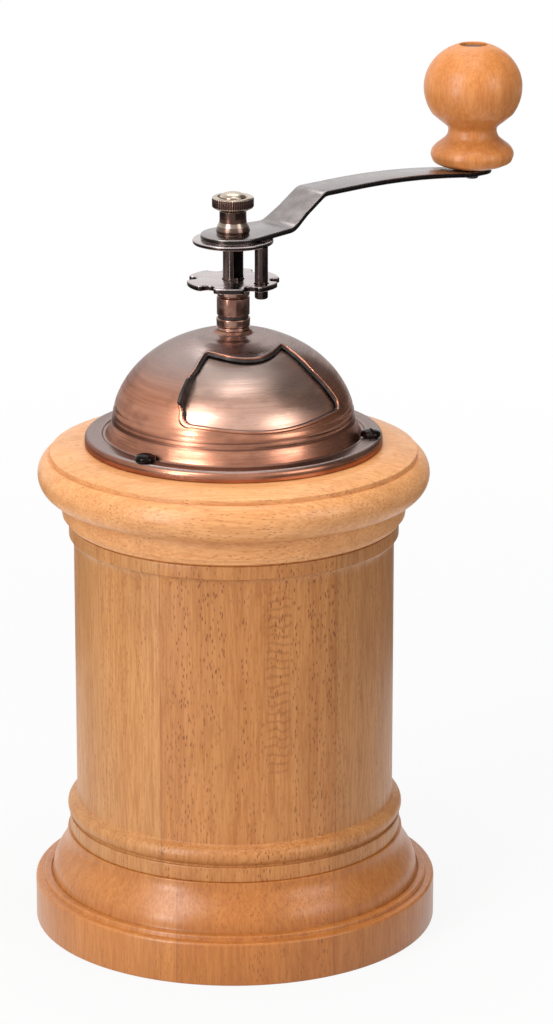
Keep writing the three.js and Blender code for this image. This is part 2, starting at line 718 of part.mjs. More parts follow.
// Open retaining clip that snaps into the shaft's groove
function clip() {
  const innerR = SHAFT_R - GROOVE_DEPTH + SLIP;
  const ring = washer(innerR, CLIP_R, clipBottom, clipBottom + CLIP_T);
  const mouth = block(CLIP_MOUTH, 2 * CLIP_R, clipBottom - 1, clipBottom + CLIP_T + 1);
  return cut(ring, mouth.translate(0, -CLIP_R, 0));
}

// Compression spring between the bush nut and its seat: one unbroken wire
function spring() {
  const [from, to] = [springSeatTop + SLIP, bushNutBottom - SLIP];
  const steps = SPRING_TURNS * SPRING_STEPS;
  const height = to - from - 2 * SPRING_WIRE_R;
  const heightAt = (i) => from + SPRING_WIRE_R + (height * i) / steps;
  const pathPoint = (i) => at((360 * i) / SPRING_STEPS, SPRING_R, heightAt(i));
  const rings = Array.from({ length: steps + 1 }, (_, i) => {
    const centre = pathPoint(i);
    const outward = at((360 * i) / SPRING_STEPS, 1);
    const along = pathPoint(i + 0.5).sub(pathPoint(i - 0.5)).normalize();
    const across = along.clone().cross(outward).normalize();
    return Array.from({ length: SPRING_SIDES }, (_unused, k) => {
      const angle = (2 * Math.PI * k) / SPRING_SIDES;
      return centre.clone()
        .addScaledVector(outward, SPRING_WIRE_R * Math.cos(angle))
        .addScaledVector(across, SPRING_WIRE_R * Math.sin(angle));
    });
  });
  let gap = Infinity;
  for (let i = 0; i + SPRING_STEPS <= steps; i += 1) {
    const distance = pathPoint(i).distanceTo(pathPoint(i + SPRING_STEPS));
    gap = Math.min(gap, distance - 2 * SPRING_WIRE_R);
  }
  console.log(`spindle_spring: least gap between turns ${gap.toFixed(2)} mm`);
  return tubeOf(rings);
}

// A closed tube through rings of points, with a flat end at each end
function tubeOf(rings) {
  const sides = rings[0].length;
  const faces = [];
  for (let i = 0; i < rings.length - 1; i += 1) {
    for (let k = 0; k < sides; k += 1) {
      const next = (k + 1) % sides;
      const [a, b] = [i * sides, (i + 1) * sides];
      faces.push(a + k, a + next, b + next, a + k, b + next, b + k);
    }
  }
  const last = (rings.length - 1) * sides;
  for (let k = 1; k < sides - 1; k += 1) {
    faces.push(0, k + 1, k, last, last + k, last + k + 1);
  }
  const geometry = new THREE.BufferGeometry();
  const positions = rings.flat().flatMap((p) => [p.x, p.y, p.z]);
  geometry.setAttribute("position", new THREE.Float32BufferAttribute(positions, 3));
  geometry.setIndex(faces);
  return geometry;
}

// Rings of a toothed cone: radiusAt gives the tips' radius from t = 0 at the bottom to 1 at the top
function toothedRings(from, to, radiusAt, depth, twist, steps) {
  const perTooth = TOOTH_WAVE.length;
  return Array.from({ length: steps + 1 }, (_, i) => {
    const t = i / steps;
    const z = THREE.MathUtils.lerp(from, to, t);
    return Array.from({ length: BURR_TEETH * perTooth }, (_unused, k) =>
      at((360 * k) / (BURR_TEETH * perTooth) + twist * t, radiusAt(t) - depth * TOOTH_WAVE[k % perTooth], z));
  });
}

function innerBurr() {
  const widest = BURR_EXIT_R - BURR_GAP - BURR_TOOTH;
  const swell = widest - INNER_BURR_TOP_R;
  const radiusAt = (t) => INNER_BURR_TOP_R + swell * Math.sqrt(1 - t ** INNER_BURR_BULGE);
  const cone = lofted(
    toothedRings(innerBurrBottom, innerBurrTop, radiusAt, BURR_TOOTH, INNER_BURR_TWIST, INNER_BURR_STEPS),
  );
  return cut(cone, flatted(boreR, SHAFT_FLAT + SLIP, innerBurrBottom - 1, innerBurrTop + 1));
}

function outerBurr() {
  const past = 1;
  const slope = (BURR_EXIT_R - BURR_MOUTH_R) / BURR_H;
  const radiusAt = (t) => BURR_EXIT_R + past * slope - t * (BURR_H + 2 * past) * slope;
  const [from, to] = [spigotBottom - past, burrTop + past];
  const hollow = lofted(toothedRings(from, to, radiusAt, BURR_TOOTH, OUTER_BURR_TWIST, OUTER_BURR_STEPS));
  const screwHole = rod(BRIDGE_SCREW_R + SLIP, burrTop + BRIDGE_T - BRIDGE_SCREW_L - SLIP, burrTop + past);
  return cut(
    rod(BURR_R, spigotBottom, burrTop, FINE),
    hollow,
    ...ringOf(screwHole, 2, 90, BRIDGE_SCREW_RING_R),
  );
}

function burrCarrier() {
  const plate = washer(CARRIER_HOLE_R, CARRIER_R, spigotBottom - CARRIER_T, spigotBottom, FINE);
  const hole = rod(CARRIER_SCREW_R + SLIP, spigotBottom - 2 * CARRIER_T, spigotBottom + SLIP);
  return cut(plate, ...ringOf(hole, DOME_SCREW_COUNT, 0, CARRIER_SCREW_RING_R));
}

// Bridge across the burr's mouth, with the lower bearing in its boss
function burrBridge() {
  const bar = block(3 * THROAT_R, BRIDGE_W, burrTop, burrTop + BRIDGE_T);
  const trimmed = common(bar, rod(THROAT_R - SLIP, burrTop, burrTop + BRIDGE_T, FINE));
  const boss = rod(BRIDGE_BOSS_R, burrTop, burrTop + BRIDGE_BOSS_H, MEDIUM);
  const hole = rod(BRIDGE_SCREW_R + SLIP, burrTop - 1, burrTop + BRIDGE_T + 1);
  return cut(
    joined(trimmed, boss),
    rod(boreR, burrTop - 1, burrTop + BRIDGE_BOSS_H + 1, MEDIUM),
    ...ringOf(hole, 2, 90, BRIDGE_SCREW_RING_R),
  );
}

function stopperDisc() {
  const plate = rod(stopDiscR, stopBottom, eyeBottom, FINE);
  const place = at(PIN_AZ, PIN_RING_R);
  const stemHole = rod(PIN_STEM_R + SLIP, stopBottom - 1, eyeBottom + 1).translate(place.x, place.y, 0);
  return cut(plate, armDrive(stopBottom - 1, eyeBottom + 1), stemHole);
}

// The flatted hole of the two pieces that the shaft turns
function armDrive(from, to) {
  return flatted(DRIVE_R + SLIP, DRIVE_FLAT + SLIP, from, to);
}

function stopperPin() {
  return turned([
    [0, stopBottom - PIN_L],
    [PIN_R - SLIP, stopBottom - PIN_L],
    [PIN_R, stopBottom - PIN_L + SLIP],
    [PIN_R, stopBottom],
    [PIN_STEM_R, stopBottom],
    [PIN_STEM_R, eyeBottom - SLIP],
    [0, eyeBottom - SLIP],
  ], SMALL);
}

// Height of a line that turns upwards at 0, with its bend rounded
function bendHeight(s) {
  if (s < -ARM_BEND_RUN) return 0;
  return s < ARM_BEND_RUN ? (s + ARM_BEND_RUN) ** 2 / (4 * ARM_BEND_RUN) : s;
}

// Height of the arm's upper face above the eye, along the arm
function armHeight(s) {
  const slope = ARM_RISE / (ARM_BEND_TO - ARM_BEND_FROM);
  const rise = slope * (bendHeight(s - ARM_BEND_FROM) - bendHeight(s - ARM_BEND_TO));
  const run = THREE.MathUtils.clamp((s - ARM_DROOP_FROM) / (ARM_L - ARM_SEAT_L - ARM_DROOP_FROM), 0, 1);
  return rise - ARM_DROOP * run ** 2;
}

// Crank arm: a cranked strip, round at the eye and at the knob
function crankArm() {
  const tip = ARM_L + ARM_W / 2;
  const spread = (from, to, steps) =>
    Array.from({ length: steps + 1 }, (_, i) => THREE.MathUtils.lerp(from, to, i / steps));
  const bends = [ARM_BEND_FROM, ARM_BEND_TO].flatMap((s) => spread(s - ARM_BEND_RUN, s + ARM_BEND_RUN, 2));
  const droops = spread(ARM_DROOP_FROM, ARM_L - ARM_SEAT_L, ARM_DROOP_STEPS);
  const stations = [-EYE_R - 1, ...bends, ...droops, tip + 1];
  const probe = 0.1;
  const slopeAt = (s) => (armHeight(s + probe) - armHeight(s - probe)) / (2 * probe);
  const upper = stations.map((s) => new THREE.Vector2(s, armHeight(s)));
  const lower = stations.map((s) => {
    const slope = slopeAt(s);
    const scale = ARM_T / Math.hypot(1, slope);
    return new THREE.Vector2(s + slope * scale, armHeight(s) - scale);
  });
  const side = new THREE.Shape([...lower, ...upper.reverse()]);
  const strip = new THREE.ExtrudeGeometry(side, { depth: 4 * EYE_R, bevelEnabled: false });
  strip.translate(0, 0, -2 * EYE_R).rotateX(Math.PI / 2).translate(0, 0, eyeTop);
  const plan = new THREE.Shape();
  const shoulder = Math.acos((EYE_R - ARM_W / 2) / ARM_TAPER_L);
  plan.absarc(0, 0, EYE_R, shoulder, 2 * Math.PI - shoulder, false);
  plan.lineTo(ARM_TAPER_L, -ARM_W / 2);
  plan.absarc(ARM_L, 0, ARM_W / 2, -Math.PI / 2, Math.PI / 2, false);
  plan.lineTo(ARM_TAPER_L, ARM_W / 2);
  const [low, high] = [eyeBottom - ARM_RISE, eyeTop + 2 * ARM_RISE];
  const body = common(welded(strip), extruded(plan, low, high, ARM_CURVE_STEPS));
  const knobHole = rod(knobPinR + SLIP, low, high).translate(ARM_L, 0, 0);
  const drive = armDrive(low, high).rotateZ(THREE.MathUtils.degToRad(90 - ARM_AZ));
  return cut(body, knobHole, drive).rotateZ(THREE.MathUtils.degToRad(ARM_AZ - 90));
}

function capNut() {
  const foot = eyeTop + CAP_FOOT_H;
  const waistTop = eyeTop + CAP_WAIST_H;
  const headBottom = waistTop + CAP_CHAMFER;
  const headTop = headBottom + CAP_HEAD_H;
  const button = arc([0, headTop], [CAP_BUTTON_R, CAP_BUTTON_H], 0, 90);
  const outer = turned([
    [0, eyeTop],
    [CAP_FOOT_R, eyeTop],
    [CAP_FOOT_R, foot],
    ...arc([CAP_FOOT_R, foot + CAP_FOOT_H], [CAP_WAIST_R - CAP_FOOT_R, CAP_FOOT_H], -90, 0),
    [CAP_WAIST_R, waistTop],
    [CAP_HEAD_R, headBottom],
    [CAP_HEAD_R, headTop - SLIP],
    [CAP_HEAD_R - SLIP, headTop],
    ...button,
  ], MEDIUM);
  return cut(outer, rod(DRIVE_R + SLIP, eyeTop - 1, shaftTop + SLIP, MEDIUM));
}

// Knob, built on its own axis from its underside: foot bead, waist, ball and a sunk top
function knob() {
  const waistH = KNOB_BALL_H - KNOB_BALL_RISE * Math.sqrt(1 - (KNOB_WAIST_R / KNOB_BALL_R) ** 2);
  const ballFrom = -THREE.MathUtils.radToDeg(Math.acos(KNOB_WAIST_R / KNOB_BALL_R));
  const ballTo = THREE.MathUtils.radToDeg(Math.acos(KNOB_RECESS_R / KNOB_BALL_R));
  const beadR = KNOB_FOOT_H / 2;
  const beadMid = KNOB_FOOT_R - beadR;
  const neckR = THREE.MathUtils.lerp(KNOB_WAIST_R, KNOB_FOOT_R, KNOB_NECK_OUT);
  const neckH = THREE.MathUtils.lerp(KNOB_FOOT_H, waistH, KNOB_NECK_UP);
  return turned([
    [KNOB_BORE_R, 0],
    [beadMid, 0],
    ...arc([beadMid, beadR], [beadR, beadR], -KNOB_BEAD_ARC, KNOB_BEAD_ARC),
    [neckR, neckH],
    ...arc([0, KNOB_BALL_H], [KNOB_BALL_R, KNOB_BALL_RISE], ballFrom, ballTo, CURVE_FACET),
    [KNOB_RECESS_R, knobTopH - KNOB_RECESS_H],
    [KNOB_BORE_R, knobTopH - KNOB_RECESS_H],
  ], MEDIUM);
}

// Pin through arm and knob, on the knob's axis: riveted under the arm, headed in the recess
function knobPin() {
  const recess = knobBottom + knobTopH - KNOB_RECESS_H;
  const armUnder = seatTop - ARM_T;
  return turned([
    [0, armUnder - KNOB_RIVET_H],
    [KNOB_RIVET_R - SLIP, armUnder - KNOB_RIVET_H],
    [KNOB_RIVET_R, armUnder],
    [knobPinR, armUnder],
    [knobPinR, recess],
    [KNOB_RECESS_R - SLIP, recess],
    [KNOB_RECESS_R - SLIP, recess + KNOB_PIN_HEAD_H - SLIP],
    [KNOB_RECESS_R - 2 * SLIP, recess + KNOB_PIN_HEAD_H],
    [0, recess + KNOB_PIN_HEAD_H],
  ], MEDIUM);
}

function columnGroup() {
  const group = new THREE.Group();
  group.add(node("base_plinth", plinth(), BEECH_BASE), node("column_body", column(), BEECH));
  return group;
}

function headGroup() {
  const group = new THREE.Group();
  group.add(
    node("head_ring", headRing(), BEECH_HEAD),
    node("hopper_dome", dome(), COPPER),
    node("hopper_funnel", funnel(), TINPLATE),
    node("shutter", shutter(), COPPER),
    node("top_bush", bush(), DARK_BRONZE),
    node("shutter_washer", washer(BUSH_THREAD_R + SLIP, SHUTTER_WASHER_R, bushNutTop, shoulderEnd), STEEL),
    node("bush_nut", cut(
      hexagon(BUSH_NUT_FLATS, bushNutBottom, bushNutTop),
      rod(BUSH_THREAD_R + SLIP, bushNutBottom - 1, bushNutTop + 1, MEDIUM),
    ), DARK_BRONZE),
    node("outer_burr", outerBurr(), BURR_IRON),
    node("burr_carrier", burrCarrier(), STEEL),
    node("burr_bridge", burrBridge(), BURR_IRON),
    node("spindle_spring", spring(), STEEL),
  );
  const domeScrew = screw(DOME_SCREW_HEAD_R, DOME_SCREW_HEAD_H, DOME_SCREW_R, DOME_SCREW_L - SLIP);
  const carrierShank = CARRIER_SCREW_L - SLIP;
  const carrierScrew = screw(CARRIER_SCREW_HEAD_R, CARRIER_SCREW_HEAD_H, CARRIER_SCREW_R, carrierShank);
  for (let i = 0; i < DOME_SCREW_COUNT; i += 1) {
    const azimuth = DOME_SCREW_AZ + (360 * i) / DOME_SCREW_COUNT;
    const top = node(`dome_screw_${i + 1}`, domeScrew.clone(), DARK_BRONZE);
    top.position.copy(at(azimuth, domeScrewRing, ringTop + FLANGE_H));
    top.rotation.z = THREE.MathUtils.degToRad(azimuth);
    const under = node(`carrier_screw_${i + 1}`, carrierScrew.clone(), STEEL);
    under.position.copy(at((360 * i) / DOME_SCREW_COUNT, CARRIER_SCREW_RING_R, spigotBottom - CARRIER_T));
    under.rotation.x = Math.PI;
    group.add(top, under);
  }
  const bridgeScrew = screw(BRIDGE_SCREW_HEAD_R, BRIDGE_SCREW_HEAD_H, BRIDGE_SCREW_R, BRIDGE_SCREW_L);
  for (const [i, azimuth] of [90, 270].entries()) {
    const fixing = node(`bridge_screw_${i + 1}`, bridgeScrew.clone(), STEEL);
    fixing.position.copy(at(azimuth, BRIDGE_SCREW_RING_R, burrTop + BRIDGE_T));
    group.add(fixing);
  }
  return group;
}

function spindleGroup() {
  const group = new THREE.Group();
  group.add(
    node("shaft", shaft(), DARK_BRONZE),
    node("thrust_washer", washer(boreR, THRUST_WASHER_R, bushTop, hubBottom), STEEL),
    node("grind_star", star(), DARK_BRONZE),
    node("spring_seat", washer(boreR, SPRING_SEAT_R, springSeatBottom, springSeatTop), STEEL),
    node("spring_clip", clip(), STEEL),
    node("inner_burr", innerBurr(), BURR_IRON),
    node("end_washer", washer(TAIL_R + SLIP, END_WASHER_R, endWasherBottom, innerBurrBottom), STEEL),
    node("end_nut", cut(
      hexagon(END_NUT_FLATS, endWasherBottom - END_NUT_H, endWasherBottom),
      rod(TAIL_R + SLIP, endWasherBottom - END_NUT_H - 1, endWasherBottom + 1, MEDIUM),
    ), STEEL),
  );
  return group;
}

function handleGroup() {
  const group = new THREE.Group();
  const pin = node("stopper_pin", stopperPin(), DARK_BRONZE);
  pin.position.copy(at(PIN_AZ, PIN_RING_R));
  const grip = new THREE.Group();
  grip.position.copy(at(ARM_AZ, ARM_L));
  const ball = node("knob", knob(), BEECH);
  ball.position.z = knobBottom;
  const seat = washer(knobPinR + SLIP, KNOB_WASHER_R, seatTop, knobBottom);
  grip.add(ball, node("knob_washer", seat, STEEL), node("knob_pin", knobPin(), DARK_BRONZE));
  group.add(
    node("stopper_disc", stopperDisc(), DARK_BRONZE),
    pin,
    node("crank_arm", crankArm(), STEEL),
    node("cap_nut", capNut(), DARK_BRONZE),
    grip,
  );
  return group;
}

const grinder = new THREE.Group();
grinder.add(columnGroup(), headGroup(), spindleGroup(), handleGroup());

export default grinder;
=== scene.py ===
"""Looks of a manual coffee grinder: beech column, copper dome hopper and crank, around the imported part."""
import math

import bmesh
import bpy
from mathutils import Matrix, Vector
from mathutils.geometry import tessellate_polygon


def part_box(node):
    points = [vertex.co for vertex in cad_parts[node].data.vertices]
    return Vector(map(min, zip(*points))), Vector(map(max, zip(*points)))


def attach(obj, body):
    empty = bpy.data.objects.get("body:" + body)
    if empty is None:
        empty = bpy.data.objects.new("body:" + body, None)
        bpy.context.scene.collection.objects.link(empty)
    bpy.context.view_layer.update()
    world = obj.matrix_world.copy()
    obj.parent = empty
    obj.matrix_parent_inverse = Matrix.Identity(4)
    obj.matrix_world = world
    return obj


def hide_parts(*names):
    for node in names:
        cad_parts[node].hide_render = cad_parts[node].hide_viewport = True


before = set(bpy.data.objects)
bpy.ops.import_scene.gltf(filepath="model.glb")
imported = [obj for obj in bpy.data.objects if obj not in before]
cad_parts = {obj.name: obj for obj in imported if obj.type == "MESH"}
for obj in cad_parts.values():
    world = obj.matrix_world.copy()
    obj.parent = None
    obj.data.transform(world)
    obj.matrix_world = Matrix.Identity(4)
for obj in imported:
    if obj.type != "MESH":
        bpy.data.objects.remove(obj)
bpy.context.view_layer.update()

MM = 0.001


# Outlines, all in millimetres

def lerp(a, b, t):
    return a + (b - a) * t


def evenly(start, end, steps):
    """Values from start to end in equal steps."""
    return [lerp(start, end, i / steps) for i in range(steps + 1)]


def arc(centre, radii, start, end, step=5.0):
    """Points of an ellipse's arc, angles in degrees."""
    angles = evenly(math.radians(start), math.radians(end), max(1, math.ceil(abs(end - start) / step)))
    return [(centre[0] + radii[0] * math.cos(a), centre[1] + radii[1] * math.sin(a)) for a in angles]


def rounded(points, steps=5, closed=False):
    """An outline whose corners, given as (x, y, radius), are rounded."""
    out = []
    last = len(points) - 1
    for i, point in enumerate(points):
        radius = point[2] if len(point) > 2 else 0
        if radius == 0 or (not closed and i in (0, last)):
            out.append((point[0], point[1]))
            continue
        here = Vector(point[:2])
        back = Vector(points[i - 1][:2]) - here
        ahead = Vector(points[(i + 1) % len(points)][:2]) - here
        half = back.angle(ahead) / 2
        run = min(radius / math.tan(half), 0.49 * back.length, 0.49 * ahead.length)
        radius = run * math.tan(half)
        start, end = here + back.normalized() * run, here + ahead.normalized() * run
        centre = here + (back.normalized() + ahead.normalized()).normalized() * radius / math.sin(half)
        out += bow(centre, start, end, steps)
    return out


def clamped(t):
    return min(1, max(0, t))


def smooth(t):
    t = clamped(t)
    return t * t * (3 - 2 * t)


def bow(centre, start, end, steps):
    """Points round a centre from one point to another, the short way."""
    first = math.atan2(start.y - centre.y, start.x - centre.x)
    turn = math.atan2(end.y - centre.y, end.x - centre.x) - first
    turn = (turn + math.pi) % (2 * math.pi) - math.pi
    radius = (start - centre).length
    return [(centre.x + radius * math.cos(a), centre.y + radius * math.sin(a))
            for a in evenly(first, first + turn, steps)]


def at(azimuth, radius, z=0.0):
    """A point at an azimuth in degrees from the front, turning towards +X."""
    angle = math.radians(azimuth)
    return Vector((radius * math.sin(angle), -radius * math.cos(angle), z))


# Bodies made of (vertices, faces)

def lathe(outline, count=160, shape=None):
    """A closed outline of (radius, height) turned about Z; points on the axis become poles."""
    points, rows = [], []
    for radius, z in outline:
        if radius < 1e-6:
            rows.append([len(points)])
            points.append((0, 0, z))
            continue
        rows.append(list(range(len(points), len(points) + count)))
        for j in range(count):
            angle = 2 * math.pi * j / count
            r = shape(radius, z, angle) if shape else radius
            points.append((r * math.cos(angle), r * math.sin(angle), z))
    faces = []
    for low, high in zip(rows, rows[1:] + rows[:1]):
        if len(low) == 1 and len(high) == 1:
            continue
        for j in range(count):
            n = (j + 1) % count
            corners = [low[j % len(low)], low[n % len(low)], high[n % len(high)], high[j % len(high)]]
            faces.append(list(dict.fromkeys(corners)))
    return points, faces


def side_faces(levels, count):
    """Faces between closed rings of points that follow one another."""
    faces = []
    for i in range(levels - 1):
        for j in range(count):
            n = (j + 1) % count
            faces.append([i * count + j, i * count + n, (i + 1) * count + n, (i + 1) * count + j])
    return faces


def rings_body(rings, capped=True):
    """Rings of equal count joined in order, with one flat face at each end."""
    count = len(rings[0])
    points = [tuple(p) for ring in rings for p in ring]
    faces = side_faces(len(rings), count)
    if capped:
        faces.append(list(range(count)))
        faces.append(list(range((len(rings) - 1) * count, len(rings) * count)))
    return points, faces


def inset(outline, distance):
    """A closed outline drawn in by a distance, for small distances."""
    if distance < 1e-6:
        return outline
    out = []
    count = len(outline)
    area = sum(outline[i - 1][0] * outline[i][1] - outline[i][0] * outline[i - 1][1] for i in range(count))
    side = 1 if area > 0 else -1
    for i in range(count):
        back = Vector(outline[i]) - Vector(outline[i - 1])
        ahead = Vector(outline[(i + 1) % count]) - Vector(outline[i])
        along = (back.normalized() + ahead.normalized()).normalized()
        out.append((outline[i][0] - side * along.y * distance, outline[i][1] + side * along.x * distance))
    return out


def edge_levels(low, high, bevel, steps=3):
    """(inset, height) pairs up a plate's side, with both edges rounded."""
    levels = [(bevel * (1 - math.sin(a)), low + bevel * (1 - math.cos(a)))
              for a in evenly(0, math.pi / 2, steps)]
    return levels + [(d, low + high - z) for d, z in reversed(levels)]


def plate(outline, low, high, bevel, holes=()):
    """A flat plate with rounded edges and straight holes; outlines are (x, y)."""
    levels = edge_levels(low, high, bevel)
    count = len(outline)
    points = [p for distance, z in levels for p in level(inset(outline, distance), z)]
    faces = side_faces(len(levels), count)
    caps = {}
    for side, (z, start) in {"low": (low, 0), "high": (high, (len(levels) - 1) * count)}.items():
        index = list(range(start, start + count))
        loops = [[Vector(points[i]) for i in index]]
        for hole in holes:
            index += range(len(points), len(points) + len(hole))
            loops.append([Vector(p) for p in level(hole, z)])
            points += level(hole, z)
        caps[side] = index
        faces += [[index[a] for a in triangle] for triangle in tessellate_polygon(loops)]
    offset = count
    for hole in holes:
        size = len(hole)
        for j in range(size):
            n = (j + 1) % size
            faces.append([caps["low"][offset + j], caps["low"][offset + n],
                          caps["high"][offset + n], caps["high"][offset + j]])
        offset += size
    return points, faces


def ring_points(radius, count=64, flat=None, centre=(0, 0), turn=0):
    """A circle's points, or a circle with two flats across X, or across X turned by some degrees."""
    out = []
    cosine, sine = math.cos(math.radians(turn)), math.sin(math.radians(turn))
    for j in range(count):
        angle = 2 * math.pi * (j + 0.5) / count - math.radians(turn)
        x, y = radius * math.cos(angle), radius * math.sin(angle)
        if flat is not None:
            x = min(flat, max(-flat, x))
        out.append((x * cosine - y * sine + centre[0], x * sine + y * cosine + centre[1]))
    return out


def merged(*bodies):
    points, faces = [], []
    for more_points, more_faces in bodies:
        start = len(points)
        points += [tuple(p) for p in more_points]
        faces += [[start + i for i in face] for face in more_faces]
    return points, faces


def moved(body, matrix):
    return [tuple(matrix @ Vector(p)) for p in body[0]], body[1]


def set_on(body, axis, z=0.0):
    """A body made about the origin, moved to an upright axis and a height."""
    return moved(body, Matrix.Translation(Vector((axis.x, axis.y, z))))


def level(outline, z):
    return [(x, y, z) for x, y in outline]


def placed(name, data):
    thing = bpy.data.objects.new(name, data)
    bpy.context.scene.collection.objects.link(thing)
    return thing


def solid(name, body):
    """A Blender object of a body in millimetres, normals outwards."""
    mesh = bpy.data.meshes.new(name)
    mesh.from_pydata([[c * MM for c in p] for p in body[0]], [], body[1])
    work = bmesh.new()
    work.from_mesh(mesh)
    bmesh.ops.remove_doubles(work, verts=work.verts, dist=1e-7)
    bmesh.ops.recalc_face_normals(work, faces=work.faces)
    work.to_mesh(mesh)
    work.free()
    return placed(name, mesh)


def carved(thing, *tools):
    """The object less each tool body."""
    for tool in tools:
        cutter = solid("cutter", tool)
        step = thing.modifiers.new("carve", "BOOLEAN")
        step.operation, step.solver, step.object = "DIFFERENCE", "EXACT", cutter
        graph = bpy.context.evaluated_depsgraph_get()
        mesh = bpy.data.meshes.new_from_object(thing.evaluated_get(graph))
        thing.modifiers.clear()
        old, thing.data = thing.data, mesh
        bpy.data.meshes.remove(old)
        spent = cutter.data
        bpy.data.objects.remove(cutter)
        bpy.data.meshes.remove(spent)
    return thing


def dressed(thing, material, body, slot, nodes=(), crease=32):
    """Shades a piece, gives it its material and hangs it on its body."""
    thing.data.materials.clear()
    thing.data.materials.append(material)
    thing.data.shade_smooth()
    thing.data.set_sharp_from_angle(angle=math.radians(crease))
    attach(thing, body)
    if nodes:
        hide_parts(*nodes)
    return thing


def piece(name, body, *rest, **settings):
    return dressed(solid(name, body), *rest, **settings)


# Heights in millimetres, read from the frame

def span(node):
    low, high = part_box(node)
    return low.z / MM, high.z / MM


column_low, column_high = span("column_body")
ring_top = span("head_ring")[1]
neck_top = span("hopper_dome")[1]
bush_bottom, bush_top = span("top_bush")
hub_bottom, star_top = span("grind_star")
stop_bottom, eye_bottom = span("stopper_disc")
pin_low, pin_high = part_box("stopper_pin")
pin_axis = (pin_low + pin_high) / 2 / MM
pin_bottom = pin_low.z / MM
shaft_bottom, shaft_top = span("shaft")
nut_bottom, nut_top = span("cap_nut")
knob_low, knob_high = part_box("knob")
knob_axis = (knob_low + knob_high) / 2 / MM
spring_low, spring_high = span("spindle_spring")


# Materials

def put(tree, value, socket):
    """Links another node's socket, or sets a constant; colours are given without alpha."""
    if isinstance(value, bpy.types.NodeSocket):
        tree.links.new(value, socket)
    else:
        socket.default_value = (*value, 1.0) if socket.type == "RGBA" else value


def new_node(tree, kind, inputs=None, **settings):
    made = tree.nodes.new("ShaderNode" + kind)
    for key, value in settings.items():
        setattr(made, key, value)
    for key, value in (inputs or {}).items():
        put(tree, value, made.inputs[key])
    return made


class Shader:
    """A procedural material on one Principled shader, its numbers in metres."""

    def __init__(self, name, **constants):
        self.material = bpy.data.materials.new(name)
        self.material.use_nodes = True
        self.tree = self.material.node_tree
        self.surface = self.tree.nodes["Principled BSDF"]
        for key, value in constants.items():
            self.put(value, key.replace("_", " ").title().replace("Ior", "IOR"))

    def put(self, value, socket):
        put(self.tree, value, self.surface.inputs[socket])

    def node(self, kind, inputs=None, **settings):
        return new_node(self.tree, kind, inputs, **settings)

    def math(self, operation, *values):
        return self.node("Math", dict(enumerate(values)), operation=operation).outputs[0]

    def times(self, a, b):
        return self.math("MULTIPLY", a, b)

    def place(self):
        made = self.node("SeparateXYZ", {0: self.node("TexCoord").outputs["Object"]})
        return made.outputs[0], made.outputs[1], made.outputs[2]

    def vector(self, x, y, z):
        return self.node("CombineXYZ", {0: x, 1: y, 2: z}).outputs[0]

    def scaled(self, place, *factors):
        return self.vector(*[self.times(c, f) for c, f in zip(place, factors)])

    def noise(self, vector, scale=1.0, detail=2.0, roughness=0.5):
        inputs = {"Vector": vector, "Scale": scale, "Detail": detail, "Roughness": roughness}
        return self.node("TexNoise", inputs).outputs[0]

    def cells(self, vector):
        return self.node("TexVoronoi", {"Vector": vector, "Scale": 1.0}).outputs["Distance"]

    def remap(self, value, low, high, to_low=0.0, to_high=1.0):
        inputs = {0: value, 1: low, 2: high, 3: to_low, 4: to_high}
        return self.node("MapRange", inputs, interpolation_type="SMOOTHSTEP").outputs[0]

    def shared(self, a, b, share=0.5):
        """Two values added in shares that make one."""
        return self.math("ADD", self.times(a, share), self.times(b, 1 - share))

    def apart(self, value, middle):
        return self.math("ABSOLUTE", self.math("SUBTRACT", value, middle))

    def facing_up(self):
        return self.node("SeparateXYZ", {0: self.node("NewGeometry").outputs["Normal"]}).outputs[2]

    def mix(self, factor, a, b, blend="MIX"):
        return self.node("Mix", {0: factor, 6: a, 7: b}, data_type="RGBA", blend_type=blend).outputs[2]

    def grey(self, value):
        return self.node("CombineColor", {0: value, 1: value, 2: value}).outputs[0]

    def around(self):
        """Tangent along the turning, for brushed metal on the spindle's axis."""
        x, y, _z = self.place()
        flat = self.vector(self.times(y, -1.0), x, 0.0)
        turned = self.node("VectorTransform", {0: flat}, vector_type="VECTOR",
                           convert_from="OBJECT", convert_to="WORLD")
        self.put(turned.outputs[0], "Tangent")

    def finished(self, tint, roughness, height, distance, strength):
        """The material with its colour, roughness and bump."""
        self.put(tint, "Base Color")
        self.put(roughness, "Roughness")
        bump = self.node("Bump", {"Height": height, "Distance": distance, "Strength": strength})
        self.put(bump.outputs[0], "Normal")
        return self.material


SEAM_HALF, SEAM_CORE = 0.00028, 0.00012  # a glue line's half width, and its darkest part
LADDER_PITCH, LADDER_HALF, LADDER_CORE = 0.0026, 0.0042, 0.0022
CELL_ACROSS, CELL_ALONG = 1350.0, 390.0  # cells to a metre that the ray flecks come from


